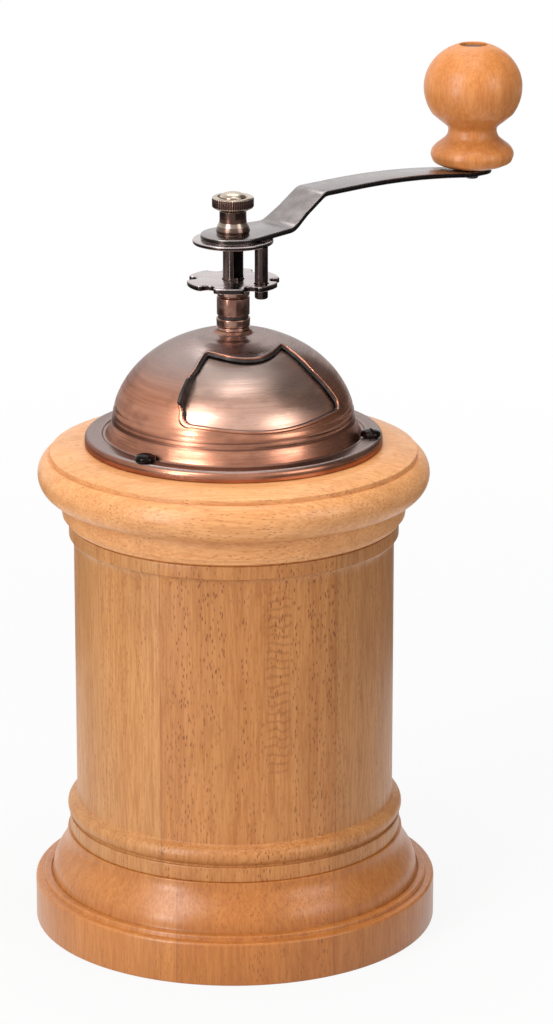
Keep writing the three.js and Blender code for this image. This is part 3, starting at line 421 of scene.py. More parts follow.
def beech(name, planks, shade, dark, grain="z", ladder=None, fleck_size=1.0, roughness=0.40, coat=0.14):
    """Steamed beech: fine streaks along the grain, short dark ray flecks and faint glue lines.
    Planks are (seam in millimetres, colour, fleck amount) from -X to +X. A ladder is a strip of
    faint rungs: (middle, lower end, upper end) in millimetres."""
    s = Shader(name, coat_weight=coat, coat_roughness=0.3, coat_ior=1.45, specular_ior_level=0.32)
    x, y, z = s.place()
    across = x
    if grain == "x":
        x, z = z, x
    slow = s.noise(s.scaled((x, y, z), 30.0, 30.0, 14.0))
    wander = s.times(s.math("SUBTRACT", slow, 0.5), 0.003)
    sway = s.math("ADD", x, wander)
    tint, flecks = planks[0][1], planks[0][2]
    seams, before = 0.0, flecks
    for seam, hue, amount in planks[1:]:
        beside = s.math("SUBTRACT", across, seam * MM)
        past = s.math("GREATER_THAN", beside, 0.0)
        tint = s.mix(past, tint, hue)
        flecks = s.math("MULTIPLY_ADD", past, amount - before, flecks)
        before = amount
        seams = s.math("MAXIMUM", seams, s.remap(s.math("ABSOLUTE", beside), SEAM_HALF, SEAM_CORE))
    fine = s.noise(s.scaled((sway, y, z), 1500.0, 1500.0, 110.0), detail=3.0, roughness=0.6)
    broad = s.noise(s.scaled((sway, y, z), 330.0, 330.0, 9.0), detail=3.0)
    drift = s.noise(s.scaled((x, y, z), 60.0, 60.0, 16.0), detail=1.0)
    bent = s.math("MULTIPLY_ADD", s.noise(s.scaled((x, y, z), 90.0, 90.0, 30.0)), 0.0012, x)
    spots = s.cells(s.scaled((bent, y, z), *[n / fleck_size for n in (CELL_ACROSS, CELL_ACROSS, CELL_ALONG)]))
    dashes = s.remap(spots, 0.33, 0.20)
    chains = s.remap(s.noise(s.scaled((bent, y, z), 260.0, 260.0, 12.0), detail=2.0), 0.36, 0.60, 0.2, 1.0)
    dashes = s.times(dashes, chains)
    streak = s.shared(s.remap(fine, 0.36, 0.64), s.remap(broad, 0.34, 0.66), 0.6)
    tint = s.mix(1.0, tint, s.mix(streak, (1, 1, 1), shade), "MULTIPLY")
    tint = s.mix(s.times(dashes, flecks), tint, dark)
    if ladder:
        middle, low, high = ladder
        shifted = s.times(s.noise(s.scaled((x, y, z), 240.0, 240.0, 70.0), detail=1.0), 9.0)
        wave = s.math("SINE", s.math("MULTIPLY_ADD", z, 2 * math.pi / LADDER_PITCH, shifted))
        rungs = s.remap(wave, 0.2, 0.9)
        inside = s.remap(s.apart(sway, middle * MM), LADDER_HALF, LADDER_CORE)
        inside = s.times(inside, s.remap(y, 0.0, -0.03))
        inside = s.times(inside, s.remap(z, low * MM, (low + 8) * MM))
        inside = s.times(inside, s.remap(z, high * MM, (high - 8) * MM))
        tint = s.mix(s.times(s.times(rungs, inside), 0.32), tint, dark)
    tint = s.mix(s.times(seams, 0.3), tint, dark)
    lightness = s.remap(drift, 0.3, 0.7, 0.95, 1.05)
    tint = s.mix(1.0, tint, s.grey(lightness), "MULTIPLY")
    depth = s.math("SUBTRACT", s.times(fine, 0.5), s.times(dashes, 0.5))
    return s.finished(tint, s.remap(fine, 0.2, 0.8, roughness - 0.05, roughness + 0.07), depth, 0.00005, 0.5)


GROOVE_HALF, GROOVE_CORE = 0.00034, 0.00012


def copper(name, bright, dull, dark, top, rough, anisotropy=0.55, foot=None, grooves=()):
    """Antiqued copper brushed round the spindle's axis: bands, brown patches, greyer where it faces up as a
    painted reflection of the white above, dark lines at some heights and a dark foot."""
    s = Shader(name, metallic=1.0, anisotropic=anisotropy, coat_weight=0.02, coat_roughness=0.2,
               specular_tint=(0.62, 0.60, 0.60))
    x, y, z = s.place()
    radius = s.math("SQRT", s.math("ADD", s.times(x, x), s.times(y, y)))
    meridian = s.math("SUBTRACT", z, radius)
    side_x, side_y = s.math("DIVIDE", x, radius), s.math("DIVIDE", y, radius)
    lines = s.noise(s.scaled((meridian, side_x, side_y), 4200.0, 1.6, 1.6), detail=3.0, roughness=0.65)
    bands = s.noise(s.scaled((meridian, side_x, side_y), 420.0, 0.9, 0.9), detail=2.0)
    clouds = s.noise(s.scaled((x, y, z), 60.0, 60.0, 150.0), detail=4.0, roughness=0.6)
    tone = s.shared(lines, bands)
    tint = s.mix(s.remap(tone, 0.38, 0.62), dull, bright)
    tint = s.mix(s.remap(clouds, 0.58, 0.38, 0.0, 0.42), tint, dark)
    # Painted reflection: faces that look up turn towards the top colour, the white they would reflect.
    tint = s.mix(s.remap(s.facing_up(), 0.55, 0.95, 0.0, 0.85), tint, top)
    if foot:
        low, high, amount = foot
        near = s.remap(z, high * MM, low * MM, 0.0, amount)
        tint = s.mix(s.times(near, s.remap(bands, 0.35, 0.6, 1.0, 0.45)), tint, dark)
    for height in grooves:
        line = s.remap(s.apart(z, height * MM), GROOVE_HALF, GROOVE_CORE, 0.0, 0.8)
        tint = s.mix(line, tint, dark)
    s.around()
    return s.finished(tint, s.remap(tone, 0.3, 0.7, rough + 0.08, rough - 0.05), lines, 0.000014, 0.8)


def metal(name, bright, dark, rough, edge=None, wear=None):
    """Plated metal with fine grain; edge darkens what stands upright, a painted shade of the dark that
    upright faces reflect; wear brightens sharp edges.
    """
    s = Shader(name, metallic=1.0)
    place = s.place()
    fine = s.noise(s.scaled(place, 320.0, 320.0, 320.0))
    broad = s.noise(s.scaled(place, 90.0, 90.0, 90.0))
    tint = s.mix(s.remap(s.shared(fine, broad), 0.38, 0.62), dark, bright)
    # Painted shade: upright faces are darkened towards the edge colour, as if they reflected dark
    # surroundings.
    if edge:
        tint = s.mix(s.remap(s.math("ABSOLUTE", s.facing_up()), 0.55, 0.25), tint, edge)
    if wear:
        point = s.node("NewGeometry").outputs["Pointiness"]
        tint = s.mix(s.remap(point, 0.52, 0.60, 0.0, 0.7), tint, wear)
    return s.finished(tint, s.remap(fine, 0.3, 0.7, rough - 0.05, rough + 0.07), fine, 0.000008, 0.4)


def patina(name, light, dark, rough):
    """Blackened finish without a metal's gloss."""
    s = Shader(name, specular_ior_level=0.35)
    worn = s.remap(s.noise(s.scaled(s.place(), 500.0, 500.0, 500.0)), 0.35, 0.65)
    polish = s.remap(worn, 0.0, 1.0, rough + 0.06, rough - 0.06)
    return s.finished(s.mix(worn, dark, light), polish, worn, 0.000006, 0.4)


BEECH_COLUMN = beech(
    "beech_column",
    [(0, (0.50, 0.240, 0.086), 0.4), (-21.5, (0.465, 0.200, 0.063), 0.85),
     (29.5, (0.45, 0.205, 0.070), 0.5)],
    (0.74, 0.62, 0.50), (0.17, 0.05, 0.014), ladder=(13.0, 56, 120))
BEECH_BASE = beech(
    "beech_base",
    [(0, (0.46, 0.178, 0.045), 0.35), (-17.0, (0.42, 0.152, 0.034), 0.6),
     (29.0, (0.40, 0.148, 0.036), 0.35)],
    (0.78, 0.68, 0.58), (0.16, 0.05, 0.014), roughness=0.34, coat=0.3)
BEECH_RING = beech(
    "beech_ring", [(0, (0.67, 0.325, 0.128), 0.6)],
    (0.78, 0.68, 0.58), (0.26, 0.09, 0.035), grain="x", coat=0.2)
BEECH_KNOB = beech(
    "beech_knob", [(0, (0.58, 0.22, 0.058), 0.35)],
    (0.78, 0.67, 0.56), (0.30, 0.09, 0.026), fleck_size=0.7, coat=0.3)
# Each copper's fifth colour, the greyer pink on faces that look up, is a painted reflection.
COPPER_DOME = copper(
    "copper_dome", (0.52, 0.24, 0.150), (0.37, 0.150, 0.090), (0.12, 0.05, 0.036),
    (0.48, 0.40, 0.38), 0.24, foot=(152.0, 160.0, 0.2), grooves=(155.2, 157.0))
COPPER_LEAF = copper(
    "copper_leaf", (0.61, 0.38, 0.295), (0.45, 0.25, 0.185), (0.18, 0.10, 0.075),
    (0.50, 0.41, 0.37), 0.29, anisotropy=0.5)
BRONZE = metal("antique_bronze", (0.36, 0.215, 0.165), (0.20, 0.10, 0.075), 0.22,
               wear=(0.66, 0.48, 0.41))
# Painted light: the pale cream is a painted reflection of the white above the nut's top, and its edge colour
# is painted shade on its upright faces.
NUT_BRONZE_PAINTED_SHEEN_AND_SHADE = metal("nut_bronze_painted_sheen_and_shade", (0.66, 0.57, 0.46), (0.44, 0.35, 0.28), 0.24,
                   edge=(0.075, 0.042, 0.034))
BLACKENED = metal("blackened_steel", (0.026, 0.019, 0.017), (0.010, 0.008, 0.007), 0.22,
                  wear=(0.16, 0.11, 0.10))
# Black patina; on the window's turned-in edge and on the shutter's tab it is painted shade.
PATINA_AND_PAINTED_SHADE = patina("black_patina_and_painted_shade", (0.020, 0.012, 0.010), (0.007, 0.005, 0.004), 0.45)
# Its edge colour is painted shade on the upright faces of the star and the stopper disc.
STAR_STEEL = metal("antique_star", (0.62, 0.54, 0.53), (0.54, 0.465, 0.455), 0.22,
                   edge=(0.035, 0.026, 0.024))
# Its edge colour is painted shade on the upright faces of the arm and the knob washer.
SATIN = metal("antique_satin", (0.37, 0.335, 0.325), (0.30, 0.268, 0.26), 0.26,
              edge=(0.030, 0.024, 0.022))
BRIGHT = metal("bright_steel", (0.62, 0.61, 0.59), (0.50, 0.49, 0.47), 0.28)
BURR = metal("burr_steel", (0.22, 0.22, 0.22), (0.11, 0.11, 0.11), 0.42)
TIN = metal("tinned_steel", (0.60, 0.59, 0.56), (0.46, 0.45, 0.42), 0.36)


# Wood

GAP = 0.3
TURNED = 224  # sides of the large turned pieces
PLINTH_R, PLINTH_H = 60.3, 13.2
STEP_R, STEP_H = 57.75, 14.5
OGEE_FOOT_R, OGEE_TOP_R, OGEE_LOW, OGEE_SWELL, OGEE_STEPS = 55.1, 50.4, 14.9, 0.55, 24
SPIGOT_R, SPIGOT_H = 37.7, 7.4
TENON_H = 6
COLUMN_R, SHOULDER_R, FOOT_R, COLUMN_BORE = 47.5, 48.9, 49.7, 38
BEAD_LOW, BEAD_HIGH, COLLAR_H, COVE_H = 4.7, 10.5, 3.9, 3.4
NECK_R, NECK_H, NECK_HOLLOW, GROOVE_R = 51.2, 7.9, 1.6, 49.9
TORUS_R, TORUS_W, TORUS_H, TORUS_MID_H = 57.9, 6.3, 6.4, 14.6
LEDGE_R, LEDGE_LOW, LEDGE_HIGH = 54.2, 19.7, 21.3
SEAT_TOP_R, SEAT_LOW_R, SEAT_LOW = 33, 17.5, 131.7  # the ring's cone, which the funnel lies in
BURR_BORE, BURR_TOP = 20.3, 129.9


def plinth():
    ogee = [(lerp(OGEE_FOOT_R, OGEE_TOP_R, t) + OGEE_SWELL * math.sin(2 * math.pi * t),
             lerp(OGEE_LOW, column_low, t)) for t in evenly(0, 1, OGEE_STEPS)]
    outline = rounded([
        (0, 0), (PLINTH_R, 0, 0.5), (PLINTH_R, PLINTH_H, 0.9), (STEP_R + 0.15, PLINTH_H, 0.12),
        (STEP_R, STEP_H, 0.55), (OGEE_FOOT_R + 0.6, STEP_H, 0.2), (OGEE_FOOT_R + 0.2, STEP_H - 0.6, 0.1),
        ogee[0]])
    outline += ogee[1:-1]
    outline += rounded([ogee[-2], (OGEE_TOP_R, column_low, 0.2), (SPIGOT_R, column_low)])[1:]
    outline += [(SPIGOT_R, column_low + TENON_H), (0, column_low + TENON_H)]
    return lathe(outline, TURNED)


def column():
    bead_low, bead_high = column_low + BEAD_LOW, column_low + BEAD_HIGH
    collar = column_high - COLLAR_H
    cove = SHOULDER_R - COLUMN_R
    outline = rounded([
        (COLUMN_BORE, column_low), (FOOT_R, column_low, 0.35), (FOOT_R, bead_low - 0.15, 0.5),
        (SHOULDER_R, bead_low - 0.15, 0.1), (SHOULDER_R, bead_low + 0.3)])
    outline += arc((COLUMN_R, (bead_low + bead_high) / 2), (2.8, 2.9), -58, 62)
    outline += rounded([
        outline[-1], (COLUMN_R + 0.5, bead_high + 0.1, 0.15), (COLUMN_R, bead_high + 0.5, 0.2),
        (COLUMN_R, bead_high + 3)])[1:]
    outline += [(COLUMN_R, z) for z in (60, 85, 105)]
    outline += arc((SHOULDER_R, collar - COVE_H), (-cove, COVE_H), 0, 90)[:-1]
    outline += rounded([
        outline[-1], (SHOULDER_R, collar, 0.15), (SHOULDER_R, column_high, 0.45),
        (COLUMN_BORE, column_high)])[1:]
    return lathe(outline, TURNED)


def head_ring():
    neck_high = column_high + NECK_H
    spigot_low = column_high - SPIGOT_H
    outline = [(BURR_BORE, spigot_low), (SPIGOT_R, spigot_low), (SPIGOT_R, column_high)]
    outline += rounded([
        (SPIGOT_R, column_high), (SHOULDER_R - 0.6, column_high, 0.1), (SHOULDER_R, column_high + 0.7, 0.1),
        (49.5, column_high + 0.7, 0.3), (GROOVE_R, column_high + 1.7, 0.5), (50.6, column_high + 3.6)])[1:]
    outline += arc((NECK_R - NECK_HOLLOW, neck_high), (NECK_HOLLOW, NECK_H), -45, -4)
    outline += rounded([
        outline[-1], (NECK_R, neck_high, 0.1), (GROOVE_R, neck_high + 0.1, 0.1),
        (GROOVE_R, neck_high + 0.6, 0.1), (52.4, neck_high + 0.4, 0.3), (53.5, neck_high + 0.58)])[1:-1]
    outline += arc((TORUS_R - TORUS_W, column_high + TORUS_MID_H), (TORUS_W, TORUS_H), -73, 56)
    outline += rounded([
        outline[-1], (LEDGE_R, column_high + LEDGE_LOW, 0.1), (LEDGE_R, column_high + LEDGE_HIGH, 0.35),
        (48, ring_top, 6), (SEAT_TOP_R, ring_top, 0.5), (SEAT_LOW_R, SEAT_LOW),
        (SEAT_LOW_R, BURR_TOP + GAP), (BURR_BORE, BURR_TOP + GAP)], steps=7)[1:]
    return lathe(outline, TURNED)


piece("plinth_turned", plinth(), BEECH_BASE, "column", "beech_base", ["base_plinth"])
piece("column_turned", column(), BEECH_COLUMN, "column", "beech_column", ["column_body"])
piece("ring_turned", head_ring(), BEECH_RING, "head", "beech_ring", ["head_ring"])


# Dome with its window

DOME_R, DOME_RISE, DOME_MID_H, SHEET = 36.0, 29.0, 5.3, 0.9
FLANGE_R, FLANGE_H, ROLL_R = 43.9, 3.4, 37.4
CREST_R = 14  # where the dome's round ends and the flare up to the neck begins
RIPPLE_LOW, RIPPLE_HIGH, RIPPLE_PITCH, RIPPLE_DEPTH = 1.6, 6.7, 1.7, 0.16
dome_mid = ring_top + DOME_MID_H
flange_top = ring_top + FLANGE_H
WINDOW_LEFT, WINDOW_RIGHT = -28.4, 64.3
SPREAD = 0.6  # millimetres to a degree round the dome, about the window
WINDOW_CORNERS = [  # azimuth, height above dome_mid and rounding
    (WINDOW_LEFT, 25.8, 0.8), (-26.0, 8.9, 3.0), (66.0, 9.0, 2.2), (60.2, 20.5, 6.0),
    (WINDOW_RIGHT, 26.1, 0.6)]
SILL_H, SILL_SAG, TOP_H, TOP_SAG = 9, 1.6, 26, 1.3
TAB_LOW, TAB_HIGH = 13.8, 20.6
BAY, BAY_RUN = 1.7, 2.2  # the bay's depth in degrees, and how far past the tab it eases out
LIP_FLARE, LIP_FLARE_RUN = 0.9, 3.5


def window_outline():
    """(azimuth, height) points round the window; its top and sill sag between the corners,
    and a shallow bay makes room for the tab."""
    corners = rounded([(a * SPREAD, h, r) for a, h, r in WINDOW_CORNERS], 6, closed=True)
    spread = []
    for (x0, h0), (x1, h1) in zip(corners, corners[1:] + corners[:1]):
        steps = max(1, round(math.hypot(x1 - x0, h1 - h0) / 0.7))
        for k in range(steps):
            a, h = lerp(x0, x1, k / steps) / SPREAD, lerp(h0, h1, k / steps)
            share = clamped((a - WINDOW_LEFT) / (WINDOW_RIGHT - WINDOW_LEFT))
            upper = clamped((h - SILL_H) / (TOP_H - SILL_H))
            sag = lerp(SILL_SAG, TOP_SAG, upper) * math.sin(math.pi * share) ** 2
            if a < WINDOW_LEFT + 6:
                below, above = TAB_LOW - BAY_RUN, TAB_HIGH + BAY_RUN
                a -= BAY * smooth((h - below) / BAY_RUN) * smooth((above - h) / BAY_RUN)
            spread.append((a, dome_mid + h - sag))
    return spread


def on_dome(azimuth, z):
    """A point of the dome's outer face and its outward normal."""
    rise = (z - dome_mid) / DOME_RISE
    point = at(azimuth, DOME_R * math.sqrt(max(0, 1 - rise * rise)), z)
    normal = Vector((point.x / DOME_R ** 2, point.y / DOME_R ** 2, (z - dome_mid) / DOME_RISE ** 2))
    return point, normal.normalized()


def dome():
    crest = math.degrees(math.acos(CREST_R / DOME_R))
    flare = rounded([(CREST_R, neck_top - 2.4), (11.6, neck_top - 1.65, 4), (8.2, neck_top - 1.6, 4),
                     (5.9, neck_top - 1.0, 2), (5.1, neck_top)], 6)[1:]
    wall = []
    for r, z in arc((0, dome_mid), (DOME_R, DOME_RISE), 3, crest, 1.2):
        phase = 2 * math.pi * (z - dome_mid - RIPPLE_LOW) / RIPPLE_PITCH
        ripple = RIPPLE_DEPTH * (0.5 - 0.5 * math.cos(phase))
        wall.append((r - (ripple if RIPPLE_LOW < z - dome_mid < RIPPLE_HIGH else 0), z))
    inner = arc((0, dome_mid), (DOME_R - SHEET, DOME_RISE - SHEET), 3, crest, 3)
    outline = rounded([
        (FLANGE_R - SHEET, ring_top), (FLANGE_R, ring_top, 0.4), (FLANGE_R, flange_top, 1.5),
        (38.9, flange_top, 0.5), (38.5, flange_top - 0.45, 0.3), (37.8, flange_top - 0.45, 0.2),
        (ROLL_R, flange_top + 0.1, 0.9), wall[0]])
    outline += wall[1:] + flare
    outline += [(4.7, neck_top), (4.7, neck_top - SHEET)]
    outline += [(r, z - SHEET) for r, z in reversed(flare[:-1])]
    outline += list(reversed(inner))
    outline += [(ROLL_R - SHEET, flange_top - SHEET), (FLANGE_R - SHEET, flange_top - SHEET)]
    return lathe(outline, 288)


def window_tool():
    return rings_body([[at(a, r, z) for a, z in window_outline()] for r in (3.0, 80.0)])


def swept(profile):
    """A closed profile swept round the window on the dome's face: u away from the window, v outwards.
    The profile is a function of the place, so that its width can change on the way."""
    outline = window_outline()
    centre, _normal = on_dome((WINDOW_LEFT + WINDOW_RIGHT) / 2, dome_mid + 15)
    rings = []
    count = len(outline)
    for i in range(count):
        here, normal = on_dome(*outline[i])
        along = on_dome(*outline[(i + 1) % count])[0] - on_dome(*outline[i - 1])[0]
        away = normal.cross(along).normalized()
        if away.dot(here - centre) < 0:
            away = -away
        rings.append([here + away * u + normal * v for u, v in profile(*outline[i])])
    return rings_body(rings + rings[:1], capped=False)


def lip_profile(azimuth, z):
    """The rolled edge, wider where it flares at the lower left corner."""
    left, sill, _radius = WINDOW_CORNERS[1]
    apart = math.hypot((azimuth - left) * SPREAD, z - dome_mid - sill)
    wide = 1 + LIP_FLARE * max(0, 1 - apart / LIP_FLARE_RUN)
    return rounded([(0.0, -0.5), (0.0, 0.24, 0.20), (0.6 * wide, 0.27, 0.3), (0.95 * wide, -0.04),
                    (0.8, -0.5)], closed=True)


def painted_shadow_return_profile(azimuth, z):
    """The sheet's edge turned in behind the roll, narrow along the sill; it is drawn black as a painted
    shadow of the gap between the window's edge and the leaf.
    """
    reach = lerp(0.2, 0.6, clamped((z - dome_mid - SILL_H) / 3))
    return [(-reach, -0.86), (-reach, -0.62), (0.06, -0.16), (0.4, -0.16), (0.4, -0.86)]


screw_ring = (FLANGE_R + ROLL_R) / 2
SCREW_AZIMUTHS = [-38.7 + 120 * i for i in range(3)]
SCREW_HOLE_R = 1.7
dome_shell = solid("dome_shell", dome())
screw_drill = lathe([(0, flange_top - 3), (SCREW_HOLE_R, flange_top - 3), (SCREW_HOLE_R, flange_top + 1),
                     (0, flange_top + 1)], 24)
carved(dome_shell, window_tool(), *[set_on(screw_drill, at(a, screw_ring)) for a in SCREW_AZIMUTHS])
dressed(dome_shell, COPPER_DOME, "head", "antique_copper", ["hopper_dome"], crease=40)
piece("window_lip", swept(lip_profile), COPPER_DOME, "head", "antique_copper")
# Black: a painted shadow in the gap round the window's top and sides.
piece("window_return_painted_shadow", swept(painted_shadow_return_profile), PATINA_AND_PAINTED_SHADE, "head", "antique_copper")


# Shutter

LEAF_T, LEAF_SLIP = 0.8, 0.5


def shutter():
    outer_r, outer_rise = DOME_R - SHEET - LEAF_SLIP, DOME_RISE - SHEET - LEAF_SLIP
    crown_top = span("shutter")[1]
    crown_bottom = crown_top - LEAF_T
    start, end = WINDOW_LEFT - 3.2, WINDOW_RIGHT + 5
    low = math.degrees(math.asin(3.5 / outer_rise))
    high = math.degrees(math.asin((crown_top - dome_mid) / outer_rise))
    outer = arc((0, dome_mid), (outer_r, outer_rise), low, high, 2)
    thinner = 1 - LEAF_T / outer_rise
    inner = [(r - LEAF_T * r / outer_r, dome_mid + (z - dome_mid) * thinner) for r, z in outer]
    loop = outer + list(reversed(inner))
    rings = [[at(azimuth, r, z) for r, z in loop] for azimuth in evenly(start, end, 100)]
    edge = outer[-1][0]
    crown = lathe(rounded([
        (4.7, crown_bottom), (edge - 0.6, crown_bottom), (edge + 0.15, crown_top - 0.3, 0.3),
        (edge - 0.4, crown_top, 0.3), (4.7, crown_top)], closed=True), 96)
    return merged(rings_body(rings), crown)


def tab():
    def face(height, reach):
        return DOME_R * math.sqrt(1 - (height / DOME_RISE) ** 2) + reach
    middle = (TAB_LOW + TAB_HIGH) / 2
    outline = rounded([
        (face(TAB_LOW, -2.6), dome_mid + TAB_LOW), (face(TAB_LOW, 2.9), dome_mid + TAB_LOW, 1.4),
        (face(middle, 3.2), dome_mid + middle, 4.0), (face(TAB_HIGH, 2.9), dome_mid + TAB_HIGH, 1.4),
        (face(TAB_HIGH, -2.9), dome_mid + TAB_HIGH), (face(middle, -2.6), dome_mid + middle)],
        steps=6, closed=True)
    body = plate(outline, -0.5, 0.5, 0.25)
    edge = DOME_R * math.sqrt(1 - (TAB_HIGH / DOME_RISE) ** 2) - 1
    azimuth = WINDOW_LEFT + math.degrees(math.asin(0.15 / edge))
    out, up = at(azimuth, 1), Vector((0, 0, 1))
    across = out.cross(up)
    return moved(body, Matrix((out, up, across)).transposed().to_4x4())


piece("shutter_leaf", shutter(), COPPER_LEAF, "shutter", "antique_copper", ["shutter"])
# The tab's black is painted shade: it stands for the shade on this lug of the copper leaf.
piece("shutter_tab", tab(), PATINA_AND_PAINTED_SHADE, "shutter", "dark_bronze")


# Funnel and spring inside the dome

def funnel():
    low, high = span("hopper_funnel")
    rim_r, wall = 36.1, 0.8
    slope = (SEAT_TOP_R - SEAT_LOW_R) / (ring_top - SEAT_LOW)
    side = GAP * math.hypot(1, slope)
    foot, mouth = SEAT_LOW_R + (low - SEAT_LOW) * slope - side, SEAT_TOP_R - side
    return lathe(rounded([
        (foot - wall, low), (foot, low), (mouth, ring_top, 0.5), (rim_r, ring_top, 0.2),
        (rim_r, high, 0.2), (mouth - wall, high, 1.2)], closed=True))


def spring():
    wire, radius, turns, per_turn, sides = 0.45, 4.6, 7, 32, 10
    steps = turns * per_turn
    rise = (spring_high - spring_low - 2 * wire) / steps

    def centre(i):
        return at(360 * i / per_turn, radius, spring_low + wire + rise * i)
    rings = []
    for i in range(steps + 1):
        out = at(360 * i / per_turn, 1)
        along = (centre(i + 0.5) - centre(i - 0.5)).normalized()
        across = along.cross(out).normalized()
        rings.append([centre(i) + out * wire * math.cos(a) + across * wire * math.sin(a)
                      for a in (2 * math.pi * k / sides for k in range(sides))])
    return rings_body(rings)


piece("funnel_spun", funnel(), TIN, "head", "tinned_steel", ["hopper_funnel"])
piece("spring_wound", spring(), BRIGHT, "head", "bright_steel", ["spindle_spring"], crease=60)


# Turned parts on the spindle's axis

SHAFT_R, SHAFT_FLAT, SHAFT_BORE, STEM_R = 3.05, 2.3, 3.35, 2.5
HUB_R = 4.85
STAR_T = 1.6
DRIVE_HOLE = (2.6, 48, 2.0)  # radius, count and flat of the hole that the shaft's top drives
PIN_R, PIN_RIVET_R, PIN_HOLE_R = 1.95, 0.9, 2.25
FLAT_TURN = -54  # the flats between star and stopper face front right and back left


def bush():
    shoulder = 177.1
    return lathe(rounded([
        (SHAFT_BORE, bush_bottom), (3.9, bush_bottom, 0.2), (3.9, shoulder), (4.4, shoulder),
        (4.4, neck_top), (4.75, neck_top), (4.95, neck_top + 0.35, 0.2), (4.55, neck_top + 0.8, 0.3),
        (4.9, neck_top + 1.3, 0.4), (5.0, bush_top, 0.35), (SHAFT_BORE, bush_top)], closed=True), 96)


def star_outline():
    """A broad disc with six rounded notches; small fillets ease each notch into the rim."""
    outer, notches, notch_ring, notch_r, fillet = 13.6, 6, 12.7, 2.1, 1.0
    pitch = 360 / notches
    pin_azimuth = math.degrees(math.atan2(pin_axis.x, -pin_axis.y))
    fillet_ring = outer - fillet
    between = notch_r + fillet
    cosine = (notch_ring ** 2 + fillet_ring ** 2 - between ** 2) / (2 * notch_ring * fillet_ring)
    lean = math.degrees(math.acos(cosine))
    outline = []
    for i in range(notches):
        azimuth = pin_azimuth + pitch * (i + 0.5)
        notch = at(azimuth, notch_ring)
        before, after = at(azimuth - lean, fillet_ring), at(azimuth + lean, fillet_ring)
        enter = before + (notch - before) * fillet / between
        leave = after + (notch - after) * fillet / between
        outline += bow(before, at(azimuth - lean, outer), enter, 6)[:-1]
        outline += bow(notch, enter, leave, 14)[:-1]
        outline += bow(after, leave, at(azimuth + lean, outer), 6)[:-1]
        rim = evenly(azimuth + lean, azimuth + pitch - lean, 12)
        outline += [at(a, outer).xy[:] for a in rim[:-1]]
    return outline


star_bottom = star_top - STAR_T


def star():
    groove = hub_bottom + 5.4
    return lathe(rounded([
        (SHAFT_BORE, hub_bottom), (HUB_R, hub_bottom, 0.5), (HUB_R, groove, 0.25),
        (HUB_R - 0.6, groove + 0.35, 0.15), (HUB_R, groove + 0.7, 0.25), (HUB_R, star_bottom + 0.5),
        (SHAFT_BORE, star_bottom + 0.5)], closed=True), 96)


def shaft():
    burr_low, burr_high = span("inner_burr")
    clip_low = span("spring_clip")[0]
    seat_low = span("spring_seat")[0]
    flat_from = star_top + 0.8
    stem, body = (STEM_R, None, 0), (SHAFT_R, None, 0)  # radius, flat and the flats' turn
    stem_flats, body_flats = (STEM_R, SHAFT_FLAT, 0), (SHAFT_R, SHAFT_FLAT, 0)
    upper, drive = (3.0, 2.4, FLAT_TURN), (2.3, 1.7, 0)
    rows = [(shaft_bottom, 2.2, None, 0), (shaft_bottom + 0.3, *stem_flats), (burr_low, *stem_flats),
            (burr_low, *body_flats), (burr_high + GAP, *body_flats), (burr_high + GAP, *body),
            (clip_low - GAP, *body), (clip_low - GAP, *stem), (seat_low, *stem), (seat_low, *body),
            (flat_from, *body), (flat_from + 0.25, *upper), (stop_bottom, *upper), (stop_bottom, *drive),
            (shaft_top - 0.4, *drive), (shaft_top, 1.95, 1.5, 0)]
    return rings_body([level(ring_points(r, 64, flat, turn=turn), z) for z, r, flat, turn in rows])


def stopper_pin():
    rivet_top = eye_bottom - 0.3
    return set_on(lathe(rounded([
        (0, pin_bottom), (PIN_R, pin_bottom, 0.6), (PIN_R, stop_bottom), (PIN_RIVET_R, stop_bottom),
        (PIN_RIVET_R, rivet_top), (0, rivet_top)]), 40), pin_axis)


def stopper_disc():
    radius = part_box("stopper_disc")[1].x / MM
    return plate(ring_points(radius, 144), stop_bottom, eye_bottom, 0.35,
                 [ring_points(*DRIVE_HOLE), ring_points(1.2, 24, centre=pin_axis.xy)])


piece("bush_turned", bush(), BRONZE, "head", "dark_bronze", ["top_bush"])
piece("star_hub", star(), BRONZE, "spindle", "dark_bronze")
star_plate = plate(star_outline(), star_bottom, star_top, 0.3,
                   [ring_points(SHAFT_BORE, 64), ring_points(PIN_HOLE_R, 40, centre=pin_axis.xy)])
piece("star_plate", star_plate, STAR_STEEL, "spindle", "dark_bronze", ["grind_star"])
piece("shaft_milled", shaft(), BLACKENED, "spindle", "dark_bronze", ["shaft"])
piece("stopper_pin_turned", stopper_pin(), BLACKENED, "handle", "dark_bronze", ["stopper_pin"])
piece("stopper_disc_cut", stopper_disc(), STAR_STEEL, "handle", "antique_steel", ["stopper_disc"])


# Crank arm

ARM_AZ, ARM_L, ARM_T, ARM_W, EYE_R = 133, 100.0, 1.6, 12.0, 9.5
BEND_FROM, BEND_TO, BEND_RUN, BEND_RISE = 18, 31.5, 1.5, 8.5
DROOP_FROM, DROOP_RUN, DROOP = 45, 49, 3.6
TAPER_L = 24  # from the axis to the end of the strip's taper
KNOB_HOLE_R = 2.2


def bend_height(s):
    """Height past one bend, rounded over a short run on each side of it."""
    return max(0, s) if abs(s) > BEND_RUN else (s + BEND_RUN) ** 2 / (4 * BEND_RUN)


def arm_height(s):
    slope = BEND_RISE / (BEND_TO - BEND_FROM)
    rise = slope * (bend_height(s - BEND_FROM) - bend_height(s - BEND_TO))
    run = clamped((s - DROOP_FROM) / DROOP_RUN)
    return rise - DROOP * run * run


